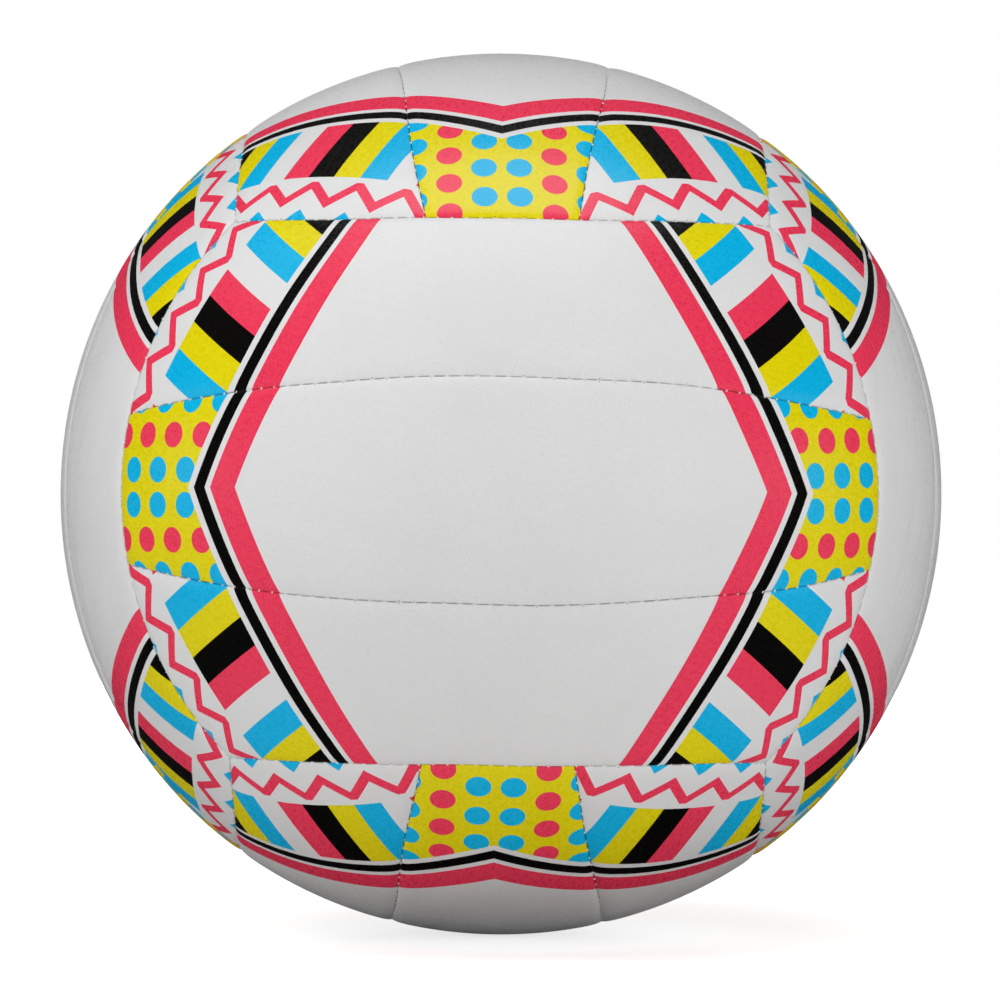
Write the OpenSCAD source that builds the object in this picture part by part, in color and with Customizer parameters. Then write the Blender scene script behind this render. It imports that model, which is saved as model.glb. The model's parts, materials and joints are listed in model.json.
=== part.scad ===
// Sewn volleyball: cover strips in six blocks of three, over an air bladder with a needle valve.
// Millimetres. The origin is the ball's centre, +Z is up and the valve points along +Y.
// Each block is drawn in its own frame: X along the strips, Y across them and Z out of the ball.
// A seam is a circle on the ball, given by its axis and by the angle between that axis and the seam.

/* [Ball] */
// Outside diameter of the inflated ball
ball_d = 210; // [200:1:216]

/* [Cover] */
// Straight width of a middle strip, half way along it
strip_mid_w = 50; // [44:0.5:56]
// Straight width of a middle strip at its two ends
strip_end_w = 34; // [28:0.5:40]
// Thickness of the printed synthetic leather
skin_t = 0.9; // [0.6:0.1:1.4]
// Thickness of the sponge behind the leather
sponge_t = 2.5; // [1.6:0.1:4]
// Thickness of the cloth behind the sponge
lining_t = 0.4; // [0.3:0.1:0.8]
// Adhesive film left between two bonded layers
bond_gap = 0.1; // [0.08:0.01:0.2]
// Gap between the turned-in edges of two sewn strips
seam_gap = 0.1; // [0.06:0.02:0.2]
// Width of the leather that rolls down towards a seam
roll_w = 4.5; // [3.5:0.5:8]
// Depth of the valley at a seam below the ball's surface
roll_depth = 1.3; // [1:0.1:1.8]

/* [Stitching] */
// Diameter of the sewing thread
thread_d = 0.8; // [0.5:0.1:1]
// Gap between the thread and the leather it lies on
thread_gap = 0.05; // [0.02:0.01:0.1]

/* [Bladder] */
// Wall thickness of the bladder
bladder_t = 0.7; // [0.5:0.1:1.2]
// Gap between the bladder and the lining
bladder_gap = 0.2; // [0.1:0.05:0.4]

/* [Valve] */
// Diameter of the valve neck where it shows in its panel
neck_d = 10; // [9:0.5:13]
// Gap between the neck and the hole through the cover
neck_gap = 0.2; // [0.1:0.05:0.4]
// Depth of the valve's face below the ball's surface
valve_recess = 0.4; // [0.2:0.1:0.8]
// Diameter of the flange that holds the valve to the bladder
flange_d = 30; // [24:1:40]
// Thickness of that flange
flange_t = 1.2; // [0.8:0.1:2]
// Diameter of the reinforcing patch between bladder and flange
patch_d = 44; // [40:1:60]
// Thickness of the patch
patch_t = 0.8; // [0.5:0.1:1.2]
// Diameter of the valve stem inside the bladder
stem_d = 12; // [10.5:0.5:16]
// Length of the stem below the flange
stem_len = 14; // [10:0.5:20]
// Diameter of the plug that fills the stem
plug_d = 6; // [5:0.1:7]
// Diameter of the plug's head
plug_head_d = 7.6; // [7.3:0.1:8.4]
// Thickness of the plug's head
plug_head_t = 1.6; // [1.2:0.1:2.5]
// Length of the plug's lips below the stem
plug_lip_len = 4; // [2:0.5:6]
// Diameter of the lips at their far end
plug_lip_d = 3; // [2.4:0.1:4]
// Clearance between the plug and its seat
plug_fit = 0.05; // [0.02:0.01:0.1]
// Diameter of the channel that grips the inflating needle
needle_d = 1.8; // [1.4:0.1:2.2]
// Thickness of the lips that close the channel
channel_end_t = 2.5; // [1:0.5:4]
// Diameter of the funnel at the channel's mouth
funnel_d = 4; // [3:0.2:5]
// Depth of the funnel
funnel_depth = 1; // [0.6:0.1:1.4]

/* [Hidden] */
$fn = 128;

// Radii of the layers, from the outside in
ball_r = ball_d / 2;
skin_in_r = ball_r - skin_t;
sponge_r = skin_in_r - bond_gap;
sponge_in_r = sponge_r - sponge_t;
lining_r = sponge_in_r - bond_gap;
cover_in_r = lining_r - lining_t;
bladder_r = cover_in_r - bladder_gap;
bladder_in_r = bladder_r - bladder_t;
patch_r = bladder_in_r - bond_gap;
patch_in_r = patch_r - patch_t;
flange_r = patch_in_r - bond_gap;
flange_in_r = flange_r - flange_t;
valve_face_r = ball_r - valve_recess;

// How far the edges of each layer stay from the seam
skin_inset = seam_gap / 2;
cavity_inset = skin_inset + skin_t;
filling_inset = cavity_inset + bond_gap;

// Angle from a block's axis to the seams round it, at which three blocks meet in each corner
block_angle = acos(1 / sqrt(3));
block_h = ball_r * cos(block_angle);

// The seam between two strips lies in the plane y = split_y + split_slope * z
split_mid_h = sqrt(pow(ball_r, 2) - pow(strip_mid_w / 2, 2));
split_slope = (strip_mid_w - strip_end_w) / 2 / (split_mid_h - block_h);
split_y = strip_end_w / 2 - split_slope * block_h;
split_tilt = atan(split_slope);
split_angle = acos(split_y * cos(split_tilt) / ball_r);

// The rolled edge is an arc from the seam up to the ball, a little flatter than one that is tangent to it.
// Here X points out of the ball along the seam and Y points into the strip
roll_flatness = 1.25;
roll_r = roll_flatness * (pow(roll_w, 2) + pow(roll_depth, 2)) / (2 * roll_depth);
roll_span = roll_w / ball_r * 180 / PI;
roll_foot = [ball_r - roll_depth, 0];
roll_top = ball_r * [cos(roll_span), sin(roll_span)];
roll_chord = roll_top - roll_foot;
roll_along = roll_chord / norm(roll_chord);
roll_out = [roll_along[1], -roll_along[0]];
roll_centre_depth = sqrt(pow(roll_r, 2) - pow(norm(roll_chord) / 2, 2));
roll_centre = (roll_foot + roll_top) / 2 - roll_centre_depth * roll_out;

// Distance from the ball's centre to a thread that rests on the rolled edges on both sides of it
thread_reach = roll_r + thread_d / 2 + thread_gap;
thread_r = roll_centre[0] + sqrt(pow(thread_reach, 2) - pow(roll_centre[1], 2));

// Half the turn of each seam about its axis, from the middle of its block
side_turn = 45;
split_end_rise = cos(block_angle) + cos(split_angle) * sin(split_tilt);
split_turn = acos(split_end_rise / (sin(split_angle) * cos(split_tilt)));

// Heights along the valve's axis
stem_bottom = flange_in_r - stem_len;
plug_bottom = stem_bottom - plug_lip_len;
head_bottom = valve_face_r - plug_head_t;

// Spare length on tools that cut right through
spare = 5;

// Each block: its name, the turn from its own frame to the ball's, and its strips in the order of rising Y
FACES = [
    ["front", [90, 0, 0], ["lower", "middle", "upper"]],
    ["back", [90, 0, 180], ["lower", "middle", "upper"]],
    ["left", [0, -90, 0], ["front", "middle", "back"]],
    ["right", [0, -90, 180], ["back", "middle", "front"]],
    ["top", [0, 0, 90], ["right", "middle", "left"]],
    ["bottom", [180, 0, 90], ["left", "middle", "right"]]
];
STRIPS = [-1, 0, 1];
SIDES = [-1, 1];

function panel_name(face, strip) = str("panel_", face[0], "_", face[2][strip + 1]);
function sponge_name(face, strip) = str("sponge_", face[0], "_", face[2][strip + 1]);
function lining_name(face) = str("lining_", face[0]);
function strip_thread_name(face) = str("strip_thread_", face[0]);
function edge_thread_name(face) = str("edge_thread_", face[0]);
function has_valve(face, strip) = face[0] == "back" && strip == 0;

// Turns the Z axis to the axis of a block's long side
module to_side(side) {
    mirror([0, side < 0 ? 1 : 0, 0]) rotate([-90, 0, 0]) children();
}

// Turns the Z axis to the axis of a seam between two strips
module to_split(side) {
    mirror([0, side < 0 ? 1 : 0, 0]) rotate([-90 - split_tilt, 0, 0]) children();
}

// Stands a valve piece, drawn along Z, on the back of the ball
module to_valve() {
    rotate([-90, 0, 0]) children();
}

module shell(outer_r, inner_r) {
    difference() {
        sphere(r = outer_r);
        sphere(r = inner_r);
    }
}

// All that lies within an angle of the Z axis, with its surface drawn in by inset
module cone_zone(angle, inset) {
    reach = ball_d;
    rim = reach * [sin(angle), cos(angle)];
    translate([0, 0, inset / sin(angle)])
        rotate_extrude() polygon([[0, 0], rim, [rim[0], reach], [0, reach]]);
}

// Layer of one strip between two radii, with its edges drawn in from the seams
module strip_layer(strip, outer_r, inner_r, inset) {
    if (strip == 0)
        difference() {
            intersection() {
                shell(outer_r, inner_r);
                cone_zone(block_angle, inset);
            }
            for (side = SIDES) to_split(side) cone_zone(split_angle, -inset);
        }
    else
        difference() {
            intersection() {
                shell(outer_r, inner_r);
                cone_zone(block_angle, inset);
                to_split(strip) cone_zone(split_angle, inset);
            }
            to_side(strip) cone_zone(block_angle, -inset);
        }
}

// Ring that cuts a rolled edge along a seam, drawn in by depth.
// facing is 1 for a strip that lies inside the seam's angle, and -1 for one outside it
module roll_ring(angle, facing, depth) {
    low = roll_foot - spare * roll_along - depth * roll_out;
    high = roll_top + spare * roll_along - depth * roll_out;
    rotate_extrude()
        rotate(90 - angle) mirror([0, facing < 0 ? 1 : 0])
            difference() {
                polygon([low, high, high + spare * roll_out, low + spare * roll_out]);
                translate(roll_centre) circle(r = roll_r - depth);
            }
}

// Each of these cuts a rolled edge from its child: at the two ends, along a long side, or between two strips
module rolled_ends(depth) {
    difference() {
        children();
        roll_ring(block_angle, 1, depth);
    }
}

module rolled_side(side, depth) {
    difference() {
        children();
        to_side(side) roll_ring(block_angle, -1, depth);
    }
}

module rolled_split(side, facing, depth) {
    difference() {
        children();
        to_split(side) roll_ring(split_angle, facing, depth);
    }
}

// Layer of one strip whose outer edges roll down towards the seams
module rolled_layer(strip, outer_r, inner_r, inset) {
    depth = ball_r - outer_r;
    if (strip == 0)
        rolled_ends(depth) rolled_split(-1, -1, depth) rolled_split(1, -1, depth)
            strip_layer(strip, outer_r, inner_r, inset);
    else
        rolled_ends(depth) rolled_side(strip, depth) rolled_split(strip, 1, depth)
            strip_layer(strip, outer_r, inner_r, inset);
}

// Hole for the valve neck through the cover
module neck_hole() {
    translate([0, 0, cover_in_r - spare])
        cylinder(d = neck_d + 2 * neck_gap, h = ball_r - cover_in_r + 2 * spare);
}

// Thread along a seam, stopping one thread short of the seams that it runs into
module thread_arc(angle, turn) {
    arc_r = thread_r * sin(angle);
    half = turn - thread_d / arc_r * 180 / PI;
    rotate([0, 0, 270 - half])
        rotate_extrude(angle = 2 * half)
            translate([arc_r, thread_r * cos(angle)]) circle(d = thread_d);
}

// Printed leather strip: a tray whose edges are turned in and sewn to its neighbours
module panel(face, strip) {
    color("whitesmoke") rotate(face[1])
        difference() {
            rolled_layer(strip, ball_r, cover_in_r, skin_inset);
            rolled_layer(strip, skin_in_r, cover_in_r - spare, cavity_inset);
            if (has_valve(face, strip)) neck_hole();
        }
}

// Sponge bonded into the back of a strip
module sponge(face, strip) {
    color("khaki") rotate(face[1])
        difference() {
            rolled_layer(strip, sponge_r, sponge_in_r, filling_inset);
            if (has_valve(face, strip)) neck_hole();
        }
}

// The pieces of cloth bonded behind the sponges of one block
module lining(face) {
    color("lightgrey") rotate(face[1])
        for (strip = STRIPS)
            difference() {
                strip_layer(strip, lining_r, cover_in_r, filling_inset);
                if (has_valve(face, strip)) neck_hole();
            }
}

// Threads of the two seams between the strips of one block
module strip_thread(face) {
    color("white") rotate(face[1])
        for (side = SIDES) to_split(side) thread_arc(split_angle, split_turn);
}

// Threads of the two seams along the long sides of one block
module edge_thread(face) {
    color("white") rotate(face[1])
        for (side = SIDES) to_side(side) thread_arc(block_angle, side_turn);
}

// Disc of the shell between two radii, round the valve's axis
module shell_disc(outer_r, inner_r, d) {
    intersection() {
        shell(outer_r, inner_r);
        cylinder(d = d, h = ball_d);
    }
}

module bladder() {
    color("dimgrey")
        difference() {
            shell(bladder_r, bladder_in_r);
            to_valve() cylinder(d = neck_d + 2 * bond_gap, h = ball_d);
        }
}

// Reinforcing disc on the inside of the bladder, round the valve
module valve_patch() {
    color("slategrey") to_valve()
        difference() {
            shell_disc(patch_r, patch_in_r, patch_d);
            cylinder(d = neck_d + 2 * bond_gap, h = ball_d);
        }
}

// Rubber seat of the valve: flange under the patch, neck through the cover and stem inside the bladder
module valve_housing() {
    color("darkslategrey") to_valve()
        difference() {
            union() {
                shell_disc(flange_r, flange_in_r, flange_d);
                translate([0, 0, stem_bottom]) cylinder(d = stem_d, h = stem_len + flange_t / 2);
                intersection() {
                    sphere(r = valve_face_r);
                    translate([0, 0, flange_in_r]) cylinder(d = neck_d, h = ball_r - flange_in_r);
                }
            }
            cylinder(d = plug_d + 2 * plug_fit, h = ball_d);
            translate([0, 0, head_bottom - plug_fit])
                cylinder(d = plug_head_d + 2 * plug_fit, h = ball_r);
        }
}

// Rubber plug with the needle channel, whose lips close the far end of the channel
module valve_plug() {
    taper_h = plug_lip_len / 2;
    channel_bottom = plug_bottom + channel_end_t;
    color("black") to_valve()
        difference() {
            intersection() {
                sphere(r = valve_face_r);
                union() {
                    translate([0, 0, plug_bottom]) cylinder(d1 = plug_lip_d, d2 = plug_d, h = taper_h);
                    translate([0, 0, plug_bottom + taper_h]) cylinder(d = plug_d, h = ball_r);
                    translate([0, 0, head_bottom]) cylinder(d = plug_head_d, h = ball_r);
                }
            }
            translate([0, 0, channel_bottom]) cylinder(d = needle_d, h = ball_r);
            translate([0, 0, valve_face_r - funnel_depth])
                cylinder(d1 = needle_d, d2 = funnel_d, h = funnel_depth);
        }
}

for (face = FACES) {
    for (strip = STRIPS) {
        panel(face, strip);
        sponge(face, strip);
    }
    lining(face);
    strip_thread(face);
    edge_thread(face);
}
bladder();
valve_patch();
valve_housing();
valve_plug();
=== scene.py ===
"""Looks of a sewn volleyball: printed cover strips, stitched seams, backing layers, bladder and valve.

Sizes are in metres, or in millimetres where that is said. The origin is the ball's centre, +Z is up and the
camera looks along +Y. A block of strips is first made in its own axes: X along the strips, Y across them
and Z out of the ball.
"""

import json
import logging
import math
from dataclasses import dataclass, field
from enum import Enum

import bpy
import numpy as np
from mathutils import Euler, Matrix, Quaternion, Vector

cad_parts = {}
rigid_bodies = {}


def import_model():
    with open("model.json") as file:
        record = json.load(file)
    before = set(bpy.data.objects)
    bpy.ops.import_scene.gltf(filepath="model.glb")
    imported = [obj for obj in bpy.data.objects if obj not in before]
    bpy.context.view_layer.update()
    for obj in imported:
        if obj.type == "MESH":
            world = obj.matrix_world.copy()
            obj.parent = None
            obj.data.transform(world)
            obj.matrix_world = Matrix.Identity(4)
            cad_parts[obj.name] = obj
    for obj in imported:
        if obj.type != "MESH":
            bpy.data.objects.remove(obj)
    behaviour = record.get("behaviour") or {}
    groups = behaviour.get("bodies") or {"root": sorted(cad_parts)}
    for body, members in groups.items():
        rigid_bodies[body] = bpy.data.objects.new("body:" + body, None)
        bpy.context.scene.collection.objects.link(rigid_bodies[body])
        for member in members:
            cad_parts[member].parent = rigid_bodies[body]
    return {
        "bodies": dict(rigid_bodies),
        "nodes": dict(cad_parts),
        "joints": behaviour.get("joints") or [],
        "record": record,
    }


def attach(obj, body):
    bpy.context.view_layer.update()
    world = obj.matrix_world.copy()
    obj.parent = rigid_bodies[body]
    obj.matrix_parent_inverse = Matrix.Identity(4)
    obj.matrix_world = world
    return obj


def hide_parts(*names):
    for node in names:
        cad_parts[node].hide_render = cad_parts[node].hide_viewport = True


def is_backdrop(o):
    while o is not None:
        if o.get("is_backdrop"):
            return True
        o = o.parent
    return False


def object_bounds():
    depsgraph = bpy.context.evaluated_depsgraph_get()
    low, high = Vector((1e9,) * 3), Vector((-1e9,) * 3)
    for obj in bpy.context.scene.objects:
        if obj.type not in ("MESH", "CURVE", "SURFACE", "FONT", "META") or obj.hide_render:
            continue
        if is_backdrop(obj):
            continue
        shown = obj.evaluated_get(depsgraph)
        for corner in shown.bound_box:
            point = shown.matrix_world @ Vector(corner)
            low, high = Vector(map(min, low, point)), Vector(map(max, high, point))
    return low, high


Colour = tuple[float, float, float, float]
Frame = dict[str, object]

LOG = logging.getLogger("volleyball")
MM = 0.001
CORNER = 1 / math.sqrt(3)
PRINT_MAP = "print_place"
SEAM_GAP = "seam_gap"
SEAM_BEAT = "seam_beat"
PLAIN_WHITE = (1.0, 1.0, 1.0, 1.0)
ROUND_STEPS = 4
ROUND_SHARE = 0.4


def srgb(red: int, green: int, blue: int) -> Colour:
    """Give the linear colour of a display colour.

    Args:
        red: red from 0 to 255.
        green: green from 0 to 255.
        blue: blue from 0 to 255.

    Returns:
        The linear colour with full alpha.
    """
    levels = [value / 255 for value in (red, green, blue)]
    linear = [v / 12.92 if v <= 0.04045 else ((v + 0.055) / 1.055) ** 2.4 for v in levels]
    return (linear[0], linear[1], linear[2], 1.0)


class Row(Enum):
    """The three strips of a block, by their place across it."""

    LOWER = -1
    MIDDLE = 0
    UPPER = 1


class Block(Enum):
    """The six blocks: the turn from a block's own axes, in degrees, and its strips' names from -Y to +Y."""

    FRONT = ((90, 0, 0), ("lower", "middle", "upper"))
    BACK = ((90, 0, 180), ("lower", "middle", "upper"))
    LEFT = ((0, -90, 0), ("front", "middle", "back"))
    RIGHT = ((0, -90, 180), ("back", "middle", "front"))
    TOP = ((0, 0, 90), ("right", "middle", "left"))
    BOTTOM = ((180, 0, 90), ("left", "middle", "right"))

    def label(self) -> str:
        """Give the block's name as the CAD nodes have it."""
        return self.name.lower()

    def strip_label(self, row: Row) -> str:
        """Give the name of one strip as the CAD nodes have it."""
        return f"{self.label()}_{self.value[1][row.value + 1]}"

    def holds_valve(self, row: Row) -> bool:
        """Tell whether the valve goes through one strip."""
        return self is Block.BACK and row is Row.MIDDLE

    def matrix(self) -> np.ndarray:
        """Give the turn from the block's own axes to the ball's."""
        angles = [math.radians(angle) for angle in self.value[0]]
        return np.array(Euler(angles, "XYZ").to_matrix())

    def turn(self, points: np.ndarray) -> np.ndarray:
        """Turn points from the block's own axes to the ball's."""
        return points @ self.matrix().T

    def turn_back(self, points: np.ndarray) -> np.ndarray:
        """Turn points from the ball's axes to the block's own."""
        return points @ self.matrix()


class Body(Enum):
    """The two bodies that pieces ride on."""

    BALL = "ball"
    PLUG = "plug"


class Slot(Enum):
    """The record's material slots of the pieces that are made here."""

    COVER = "cover_leather"
    SPONGE = "sponge"
    LINING = "lining_cloth"
    THREAD = "thread"
    VALVE = "valve_rubber"
    PLUG = "plug_rubber"


class SocketKind(Enum):
    """The kinds of socket that an effect group has."""

    VALUE = "NodeSocketFloat"
    COLOUR = "NodeSocketColor"
    VECTOR = "NodeSocketVector"


# Shapes of the cover


def arc_half_turn(offset: np.ndarray, slope: np.ndarray) -> np.ndarray:
    """Give how far the circle of the plane y = offset + slope * z runs to each side before a block ends.

    Args:
        offset: the plane's offset, for a ball of radius 1.
        slope: the plane's slope.

    Returns:
        Half the circle's turn, in radians.
    """
    tilt = np.sqrt(1 + slope**2)
    height = offset / tilt
    return np.arccos((CORNER + height * slope / tilt) * tilt / np.sqrt(1 - height**2))


def arc_point(offset: np.ndarray, slope: np.ndarray, turn: np.ndarray) -> np.ndarray:
    """Give the point at a turn on the circle of the plane y = offset + slope * z.

    Args:
        offset: the plane's offset, for a ball of radius 1.
        slope: the plane's slope.
        turn: the turn from the middle of the block, in radians.

    Returns:
        Unit vectors in the block's axes.
    """
    tilt = np.sqrt(1 + slope**2)
    height = offset / tilt
    radius = np.sqrt(1 - height**2)
    x = radius * np.sin(turn)
    y = (height + radius * np.cos(turn) * slope) / tilt
    z = (radius * np.cos(turn) - height * slope) / tilt
    return np.stack(np.broadcast_arrays(x, y, z), axis=-1)


@dataclass(frozen=True)
class SeamLine:
    """A seam along a strip: the circle in which the plane y = offset + slope * z cuts a ball of radius 1."""

    offset: float
    slope: float

    def axis(self) -> np.ndarray:
        """Give the unit normal of the seam's plane."""
        return np.array([0.0, 1.0, -self.slope]) / math.hypot(1.0, self.slope)

    def angle(self) -> float:
        """Give the angle from the seam's axis to the seam."""
        return math.acos(self.offset / math.hypot(1.0, self.slope))

    def half_turn(self) -> float:
        """Give half the seam's turn round its axis."""
        return float(arc_half_turn(np.float64(self.offset), np.float64(self.slope)))

    def points(self, turn: np.ndarray) -> np.ndarray:
        """Give the unit vectors at some turns along the seam."""
        return arc_point(np.float64(self.offset), np.float64(self.slope), turn)


@dataclass(frozen=True)
class Strip:
    """The outline of one strip, in its block's axes."""

    row: Row
    lower: SeamLine
    upper: SeamLine
    ball_r: float

    def directions(self, across: np.ndarray, along: np.ndarray) -> np.ndarray:
        """Give the unit vectors of a grid on the strip.

        Args:
            across: places from 0 at the lower seam to 1 at the upper seam.
            along: places from -1 to 1, from end to end.

        Returns:
            An array of rows, columns and 3.
        """
        share = across[:, None]
        offset = self.lower.offset + (self.upper.offset - self.lower.offset) * share
        slope = self.lower.slope + (self.upper.slope - self.lower.slope) * share
        return arc_point(offset, slope, arc_half_turn(offset, slope) * along[None, :])

    def gaps(self, directions: np.ndarray) -> list[np.ndarray]:
        """Give the distances to the lower seam, the upper seam and the nearer end.

        Args:
            directions: unit vectors in the block's axes.

        Returns:
            Three arrays of distances along the ball.
        """
        found = []
        for seam in (self.lower, self.upper):
            angle = np.arccos(np.clip(directions @ seam.axis(), -1, 1))
            found.append(self.ball_r * np.abs(angle - seam.angle()))
        end = math.acos(CORNER) - np.arccos(np.clip(directions[..., 2], -1, 1))
        found.append(self.ball_r * np.clip(end, 0, None))
        return found

    def seam_places(self, directions: np.ndarray) -> list[np.ndarray]:
        """Give the places along the lower seam, the upper seam and the end, from the middle of each.

        Args:
            directions: unit vectors in the block's axes.

        Returns:
            Three arrays of lengths along the ball.
        """
        found = []
        for seam in (self.lower, self.upper):
            up = np.array([0.0, seam.slope, 1.0]) / math.hypot(1.0, seam.slope)
            turn = np.arctan2(directions[..., 0], directions @ up)
            found.append(self.ball_r * math.sin(seam.angle()) * turn)
        turn = np.arctan2(directions[..., 1], np.abs(directions[..., 0]))
        found.append(self.ball_r * math.sqrt(1 - CORNER**2) * turn)
        return found

    def width(self) -> float:
        """Give the strip's width at its middle."""
        ends = self.directions(np.array([0.0, 1.0]), np.array([0.0]))[:, 0]
        return self.ball_r * math.acos(float(np.clip(ends[0] @ ends[1], -1, 1)))

    def length(self) -> float:
        """Give the strip's length along its middle."""
        ends = self.directions(np.array([0.5]), np.array([-1.0, 1.0]))[0]
        return self.ball_r * math.acos(float(np.clip(ends[0] @ ends[1], -1, 1)))


@dataclass(frozen=True)
class SewingWave:
    """Two waves by which hand sewing wanders along one axis: their rates and starts, in radians."""

    coarse: float
    coarse_start: float
    fine: float
    fine_start: float
    fine_share: float = 0.8

    def at(self, first: np.ndarray, second: np.ndarray) -> np.ndarray:
        """Give the sum of the waves at places along the two other axes."""
        ripple = np.sin(self.fine * second + self.fine_start)
        return np.sin(self.coarse * first + self.coarse_start) + self.fine_share * ripple


@dataclass(frozen=True)
class CoverLayout:
    """Where the strips, their seams and the hole of the valve lie on the ball."""

    ball_r: float
    mid_w: float = 50 * MM
    end_w: float = 34 * MM
    strip_stitches: int = 58
    edge_stitches: int = 42
    wander: float = 0.16 * MM
    waves: tuple[SewingWave, ...] = (
        SewingWave(13.1, 0.4, 21.7, 2.1),
        SewingWave(14.9, 1.7, 23.3, 0.3),
        SewingWave(12.3, 2.9, 19.9, 1.2),
    )
    swell_h: float = 0.9 * MM
    valve_hole_r: float = 5.2 * MM

    def split_seam(self) -> SeamLine:
        """Give the seam between the middle and the upper strip.

        Returns:
            The seam, in the block's axes.
        """
        mid_h = math.sqrt(self.ball_r**2 - (self.mid_w / 2) ** 2)
        slope = (self.mid_w - self.end_w) / 2 / (mid_h - self.ball_r * CORNER)
        return SeamLine(self.end_w / 2 / self.ball_r - slope * CORNER, slope)

    def side_seam(self) -> SeamLine:
        """Give the upper seam of the block."""
        return SeamLine(CORNER, 0.0)

    def strip(self, row: Row) -> Strip:
        """Give one strip of a block.

        Args:
            row: the strip's row.

        Returns:
            The strip's outline.
        """
        split = self.split_seam()
        side = self.side_seam()
        seams = [
            SeamLine(-side.offset, side.slope),
            SeamLine(-split.offset, -split.slope),
            split,
            side,
        ]
        first = row.value + 1
        return Strip(row, seams[first], seams[first + 1], self.ball_r)

    def seam_pitch(self, seam: SeamLine, count: int) -> float:
        """Give the distance between stitches on a seam."""
        return 2 * seam.half_turn() * self.ball_r * math.sin(seam.angle()) / count

    def pitches(self, strip: Strip) -> list[float]:
        """Give the stitch distances of a strip's lower seam, upper seam and ends.

        Args:
            strip: the strip's outline.

        Returns:
            Three distances.
        """
        edge = self.seam_pitch(self.side_seam(), self.edge_stitches)
        split = self.seam_pitch(self.split_seam(), self.strip_stitches)
        lower = edge if strip.row is Row.LOWER else split
        upper = edge if strip.row is Row.UPPER else split
        return [lower, upper, edge]

    def beats(self, strip: Strip, directions: np.ndarray) -> list[np.ndarray]:
        """Give the places along a strip's seams, counted in stitches.

        Args:
            strip: the strip's outline.
            directions: unit vectors in the block's axes.

        Returns:
            Three arrays, for the lower seam, the upper seam and the end.
        """
        return [place / pitch for place, pitch in zip(strip.seam_places(directions), self.pitches(strip))]

    def swell(self, directions: np.ndarray) -> np.ndarray:
        """Give how far the pumped-up cover stands out between the middles of its blocks.

        Args:
            directions: unit vectors in the ball's or a block's axes.

        Returns:
            Heights over the ball's round surface.
        """
        return self.swell_h * (1 - np.sum(directions**4, axis=-1))

    def sway(self, directions: np.ndarray) -> np.ndarray:
        """Give how far hand sewing moves a point of the cover sideways.

        Args:
            directions: unit vectors in the ball's axes.

        Returns:
            Shifts along the surface.
        """
        axes = [directions[..., axis] for axis in range(3)]
        parts = [wave.at(axes[number - 2], axes[number - 1]) for number, wave in enumerate(self.waves)]
        shift = np.stack(parts, axis=-1)
        rise = np.sum(shift * directions, axis=-1, keepdims=True)
        return self.wander * (shift - rise * directions)


@dataclass(frozen=True)
class SeamRoll:
    """How the leather turns in at a seam."""

    roll_r: float = 0.3 * MM
    tight: float = 0.25
    crown_drop: float = 0.45 * MM
    crown_w: float = 1.2 * MM
    pinch_depth: float = 0.1 * MM
    pinch_reach: float = 1.1 * MM
    corner_power: float = 3.0

    def slack(self, beats: list[np.ndarray]) -> list[np.ndarray]:
        """Give how loose each seam is: 0 at a stitch, 1 between stitches, and even at the strip's ends.

        Args:
            beats: the places along the lower seam, the upper seam and the end, counted in stitches.

        Returns:
            Three arrays of values from 0 to 1.
        """
        waves = [1 - np.sin(math.pi * beat) ** 2 for beat in beats[:2]]
        return [*waves, np.full_like(beats[2], 0.5)]

    def drop(self, gaps: list[np.ndarray], slacks: list[np.ndarray]) -> np.ndarray:
        """Give how deep the surface lies under the ball.

        Args:
            gaps: the distances to each seam.
            slacks: how loose each seam is.

        Returns:
            Depths below the ball's round surface.
        """
        total = np.zeros_like(gaps[0])
        for gap, slack in zip(gaps, slacks):
            radius = self.roll_r * (self.tight + (1 - self.tight) * slack)
            crown = self.crown_drop * np.exp(-gap / self.crown_w)
            lean = np.clip(radius - gap, 0, radius)
            roll = radius - np.sqrt(radius**2 - lean**2)
            total = total + (crown + roll) ** self.corner_power
        return total ** (1 / self.corner_power)

    def even_drop(self, gaps: list[np.ndarray]) -> np.ndarray:
        """Give how deep a layer lies under the ball where no stitch pulls at it."""
        return self.drop(gaps, [np.ones_like(gap) for gap in gaps])

    def pinch(self, gaps: list[np.ndarray], slacks: list[np.ndarray]) -> np.ndarray:
        """Give how much deeper the thread pulls the leather at each stitch.

        Args:
            gaps: the distances to each seam.
            slacks: how loose each seam is.

        Returns:
            Added depths.
        """
        total = np.zeros_like(gaps[0])
        for gap, slack in zip(gaps, slacks):
            total = total + self.pinch_depth * np.exp(-((gap / self.pinch_reach) ** 2)) * (1 - slack)
        return total


# Mesh helpers


def spread(length: float, step: float, near_ends: list[float]) -> np.ndarray:
    """Give places from 0 to 1 that lie closer together near both ends.

    Args:
        length: the real length.
        step: the distance between places in the middle.
        near_ends: the distances from an end at which places lie first.

    Returns:
        Rising places.
    """
    lead = np.array(near_ends) / length
    count = max(2, round((1 - 2 * lead[-1]) * length / step))
    middle = np.linspace(lead[-1], 1 - lead[-1], count + 1)
    return np.concatenate([lead[:-1], middle, 1 - lead[:-1][::-1]])


def rim_order(rows: int, columns: int) -> np.ndarray:
    """Give the numbers of a grid's rim points, once round and anticlockwise.

    Args:
        rows: rows of points.
        columns: columns of points.

    Returns:
        The point numbers.
    """
    grid = np.arange(rows * columns).reshape(rows, columns)
    return np.concatenate([grid[0], grid[1:, -1], grid[-1, -2::-1], grid[-2:0:-1, 0]])


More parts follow.
